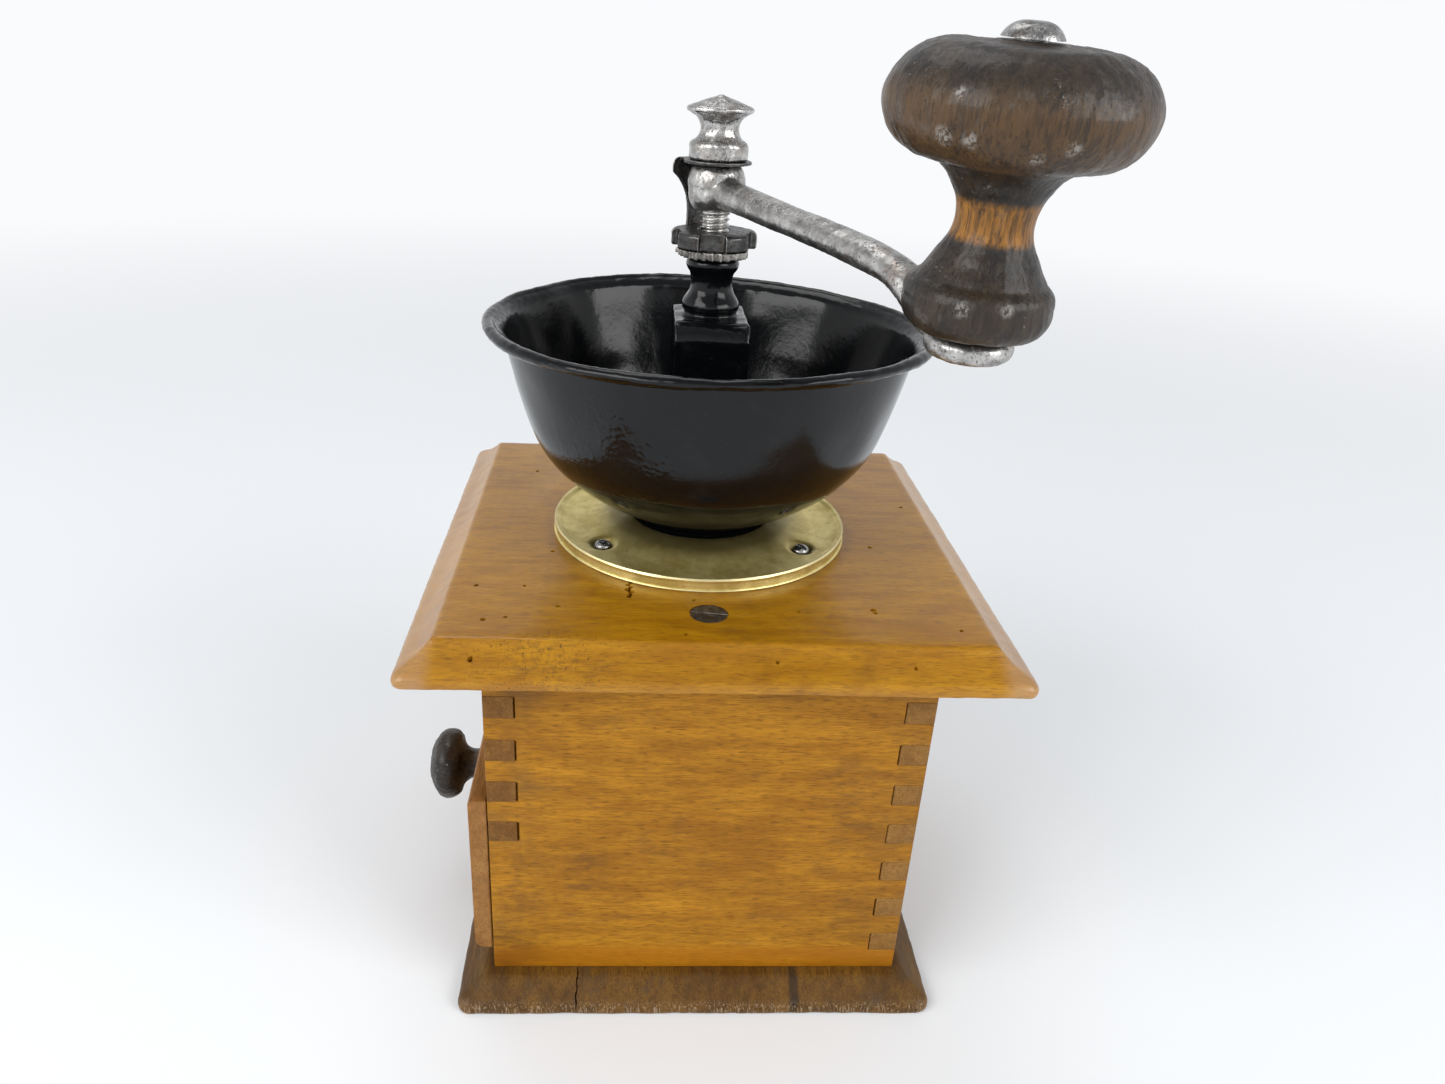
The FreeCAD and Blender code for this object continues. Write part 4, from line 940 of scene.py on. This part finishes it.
def make_bowl():
    outside = bowl_outside()
    inside = offset(outside, 1.0)[::-1]
    lip_z = high("hopper_bowl").z - 1.6
    rim = [(57.5, 188.1)] + through((57.5, 188.1), (60.8, 188.0), (61.6, 189.3), 0.3)
    rim += through((61.6, 189.3), (60.4, lip_z + 1.1), (58.4, lip_z + 0.4), 0.3)
    rim += through(rim[-1], (56.9, 188.9), inside[0], 0.4)[:-1]
    foot = DECK_Z + 1.0
    outline = [(19.6, foot)] + outside + rim + inside + [(18.6, foot)]
    mesh = lathe("bowl_spun", outline, 288, ring=True, shape=out_of_round)
    roughened(mesh, 0.16, 1.6, keep=lambda p: 1.0 if p[2] > 187.0 else 0.15)
    worn(mesh, (0.35, 14), keep=lambda p: 1.0 if p[2] > 150.0 else 0.0)
    add_piece("bowl_spun", mesh, "body", "black_enamel", LOOKS["bowl"], ["hopper_bowl"], 50)


def dimpled(angle, r, z):
    """The ring's face is drawn down round each screw."""
    for x, y in SCREW_PLACES:
        gap = math.hypot(r * math.cos(angle) - x, r * math.sin(angle) - y)
        if z > DECK_Z + 2:
            z -= 1.7 * math.exp(-(gap / 3.1) ** 4)
    return r, z


def make_ring():
    top = DECK_Z
    side = RING_R - 0.45
    outline = [(20.2, top + 0.05), (RING_R - 0.1, top + 0.05), (RING_R, top + 0.3),
               (RING_R - 0.1, top + 0.55),
               (side, top + 0.75), (side, top + 2.7),
               ("arc", (side + 0.2, top + 3.5), (side - 0.6, top + 3.8)),
               ("arc", (side - 1.3, top + 3.5), (side - 1.8, top + 2.9)),
               ("arc", (33.5, top + 2.75), (27.0, top + 4.3)), ("arc", (23.5, top + 5.0), (20.6, top + 5.2)),
               (20.2, top + 4.9)]
    mesh = lathe("brass_ring", spread(outline, 0.6), 360, ring=True, shape=dimpled)
    worn(mesh, (0.12, 6), spread_passes=0, keep=lambda p: 1.0 if p[2] > top + 1 else 0.0)
    add_piece("brass_ring", mesh, "body", "brass", LOOKS["brass"], ["flange_ring"], 40)
    heads = []
    for i, (x, y) in enumerate(SCREW_PLACES):
        head = lathe("stud", spread([(0, top - 10), (1.5, top - 10), (1.5, top + 1.2), (2.35, top + 1.5),
                                     (2.45, top + 2.1), ("arc", (1.9, top + 3.0), (0.3, top + 3.4)),
                                     (0, top + 3.4)], 0.35), 40)
        head = carved(head, block("slot", (6, 0.6, 1.2), (0, 0, top + 3.45), 35 + 70 * i))
        head.transform(Matrix.Translation((x * MM, y * MM, 0)))
        heads.append(head)
    add_piece("ring_screws", joined("ring_screws", heads), "body", "screw_steel", LOOKS["studs"],
              ["flange_screws"], 40)


# -------------------- ironwork
def make_castings():
    mesh = worn(rounded_off(copy_of("mill_frame"), 0.55, 4), (0.22, 5), (0.06, 1.2))
    add_piece("mill_casting", mesh, "body", "black_iron", LOOKS["casting"], ["mill_frame"], 60)


def make_crank():
    mesh = worn(rounded_off(copy_of("crank_arm"), 0.42, 4), (0.14, 8), (0.09, 0.9))
    add_piece("forged_arm", mesh, "crank", "forged_steel", LOOKS["forged"], ["crank_arm"], 60)
    z = FINIAL_Z
    outline = [(0, z), (7.2, z), (7.6, z + 0.5), (7.7, z + 3.0), ("arc", (7.3, z + 4.3), (6.3, z + 4.9)),
               ("arc", (4.95, z + 7.6), (6.9, z + 10.8)), (8.1, z + 11.5),
               ("arc", (8.7, z + 12.2), (8.2, z + 12.8)),
               (1.0, z + 15.3), ("arc", (0.6, z + 15.5), (0, z + 15.55))]
    mesh = worn(lathe("turned_finial", spread(outline, 0.3), 128), (0.16, 2.4), (0.07, 0.8))
    add_piece("turned_finial", mesh, "crank", "forged_steel", LOOKS["finial"], ["finial_nut"], 60)
    for node, voxel, look, slot, body in (
            ("adjusting_nut", 0.24, "dark_steel", "dark_steel", "crank"),
            ("locking_plate", 0.19, "dark_steel", "dark_steel", "crank"),
            ("serrated_washer", 0.22, "washer", "steel", "body")):
        mesh = worn(rounded_off(copy_of(node), voxel, 2), (0.09, 1.6))
        add_piece(node + "_worn", mesh, body, slot, LOOKS[look], [node], 60)


def make_spindle():
    """Shaft with a real helical thread under the crank's eye; its hidden ends are plain."""
    foot_z, eye_z, thread_low = low("spindle").z, 219.2, 205.0
    around, rise = 72, 0.09
    rows = [(2.4, foot_z), (3.0, foot_z + 0.8), (3.0, 85.4), (4.0, 85.5), (4.0, thread_low - 0.2)]
    count = round((eye_z - thread_low) / rise)
    verts = []
    for r, z in rows:
        verts += [(r * math.cos(math.tau * i / around), r * math.sin(math.tau * i / around), z)
                  for i in range(around)]
    for k in range(count + 1):
        z = thread_low + k * rise
        ends = min(1.0, (z - thread_low) / 0.6, (eye_z - z) / 0.3 + 0.2)
        for i in range(around):
            turn = (z / THREAD_PITCH - i / around) % 1.0
            r = SPINDLE_R - THREAD_DEPTH * ends * min(1.0, abs(2 * turn - 1) * 1.5)
            a = math.tau * i / around
            verts.append((r * math.cos(a), r * math.sin(a), z))
    faces = skinned(len(verts) // around, around)
    shaft = mark_wear(make_mesh("threaded_spindle", verts, faces))
    add_piece("threaded_spindle", shaft, "crank", "steel", LOOKS["thread"], ["spindle"], 60)


def make_screws():
    for node, shortest in (("top_plate_screws", 1.0), ("base_screws", 1.0)):
        mesh = eased(node, 0.12, shortest)
        add_piece(node + "_worn", mesh, "body", "screw_steel", LOOKS["screws"], [node], 40)
    for node, look in (("knob_pin", "studs"), ("outer_burr", "burr"), ("inner_burr", "burr"),
                       ("burr_pin", "forged"),
                       ("lower_bearing", "dark_steel"), ("lower_bearing_screws", "screws"),
                       ("drawer_nails", "screws"), ("drawer_pull_screw", "screws")):
        finish_node(node, LOOKS[look])


# -------------------- studio
def pale_paper():
    """Matt white paper; far from the object it only glows, as evenly as the backdrop it runs into."""
    look = Look("pale_paper")
    gap = look.node("VectorMath", {0: look.coords}, operation="LENGTH").outputs["Value"]
    far = look.ramp(gap, 0.22, 1.6)
    faint = look.between(look.noise(300, None, 2), 0.985, 1.0)
    near_shade = look.blend(faint, [0, 0, 0], [0.82, 0.845, 0.865])
    look.put(look.shader.inputs["Emission Color"], HORIZON)
    look.put(look.shader.inputs["Emission Strength"], look.between(far, 0.02, 1.0))
    return look.finish(look.blend(far, near_shade, [0, 0, 0]), 0.95,
                       look.bump(look.noise(2, None, 2), 0.01, 0.1),
                       specular=0.0)


def make_floor():
    """Wide round pale floor."""
    mesh = lathe("floor", spread([(0, 0), (6000, 0)], 300), 96)
    mesh.materials.append(pale_paper())
    mesh.polygons.foreach_set("use_smooth", [True] * len(mesh.polygons))
    floor = bpy.data.objects.new("floor", mesh)
    SCENE.collection.objects.link(floor)


HORIZON, ZENITH = (0.955, 0.965, 0.985), (0.38, 0.385, 0.395)
CAMERA_AT = (0.28927, -0.02053, 0.25815)
CAMERA_YAW, CAMERA_PITCH, CAMERA_ROLL = 3.67, 25.79, 2.90
CAMERA_LENS, CAMERA_SHIFT = 26.18, (0.0221, 0.0081)


def area_light(name, at, aim, size, power):
    data = bpy.data.lights.new(name, "AREA")
    data.shape = "RECTANGLE"
    data.size, data.size_y = size
    data.energy = power
    lamp = bpy.data.objects.new(name, data)
    lamp.location = at
    lamp.rotation_euler = (Vector(aim) - Vector(at)).to_track_quat("-Z", "Y").to_euler()
    SCENE.collection.objects.link(lamp)


def make_light():
    world = bpy.data.worlds.new("studio")
    world.use_nodes = True
    nodes, links = world.node_tree.nodes, world.node_tree.links
    direction = nodes.new("ShaderNodeTexCoord")
    parts = nodes.new("ShaderNodeSeparateXYZ")
    fade = nodes.new("ShaderNodeValToRGB")
    links.new(direction.outputs["Generated"], parts.inputs[0])
    links.new(parts.outputs["Z"], fade.inputs["Fac"])
    links.new(fade.outputs["Color"], nodes["Background"].inputs["Color"])
    fade.color_ramp.elements[0].position = 0.05
    fade.color_ramp.elements[0].color = (*HORIZON, 1)
    fade.color_ramp.elements[1].position = 0.75
    fade.color_ramp.elements[1].color = (*ZENITH, 1)
    SCENE.world = world
    area_light("left_box", (0.62, -0.86, 0.78), (0, 0, 0.15), (1.0, 0.75), 10.5)
    area_light("right_box", (0.66, 0.92, 0.72), (0, 0, 0.15), (0.8, 0.7), 8.0)
    area_light("top_box", (-0.7, -0.2, 1.6), (0, 0, 0.1), (0.9, 0.9), 5.0)
    SCENE.view_settings.view_transform = "Standard"


def make_camera():
    yaw, pitch, roll = (math.radians(a) for a in (CAMERA_YAW, CAMERA_PITCH, CAMERA_ROLL))
    ahead = Vector((-math.cos(pitch) * math.cos(yaw), math.cos(pitch) * math.sin(yaw), -math.sin(pitch)))
    right = Vector((math.sin(yaw), math.cos(yaw), 0))
    up = right.cross(ahead)
    across = right * math.cos(roll) + up * math.sin(roll)
    above = up * math.cos(roll) - right * math.sin(roll)
    data = bpy.data.cameras.new("camera")
    data.sensor_width = 36.0
    data.lens = CAMERA_LENS
    data.shift_x, data.shift_y = CAMERA_SHIFT
    data.clip_start = 0.01
    data.dof.use_dof = False
    camera = bpy.data.objects.new("camera", data)
    camera.matrix_world = Matrix((across, above, -ahead)).transposed().to_4x4()
    camera.location = CAMERA_AT
    SCENE.collection.objects.link(camera)
    SCENE.camera = camera


for make in (make_top, make_base, make_walls, make_drawer, make_crank_knob, make_pull, make_bowl, make_ring,
             make_castings, make_crank, make_spindle, make_screws, make_floor, make_light, make_camera):
    make()

bpy.context.view_layer.update()
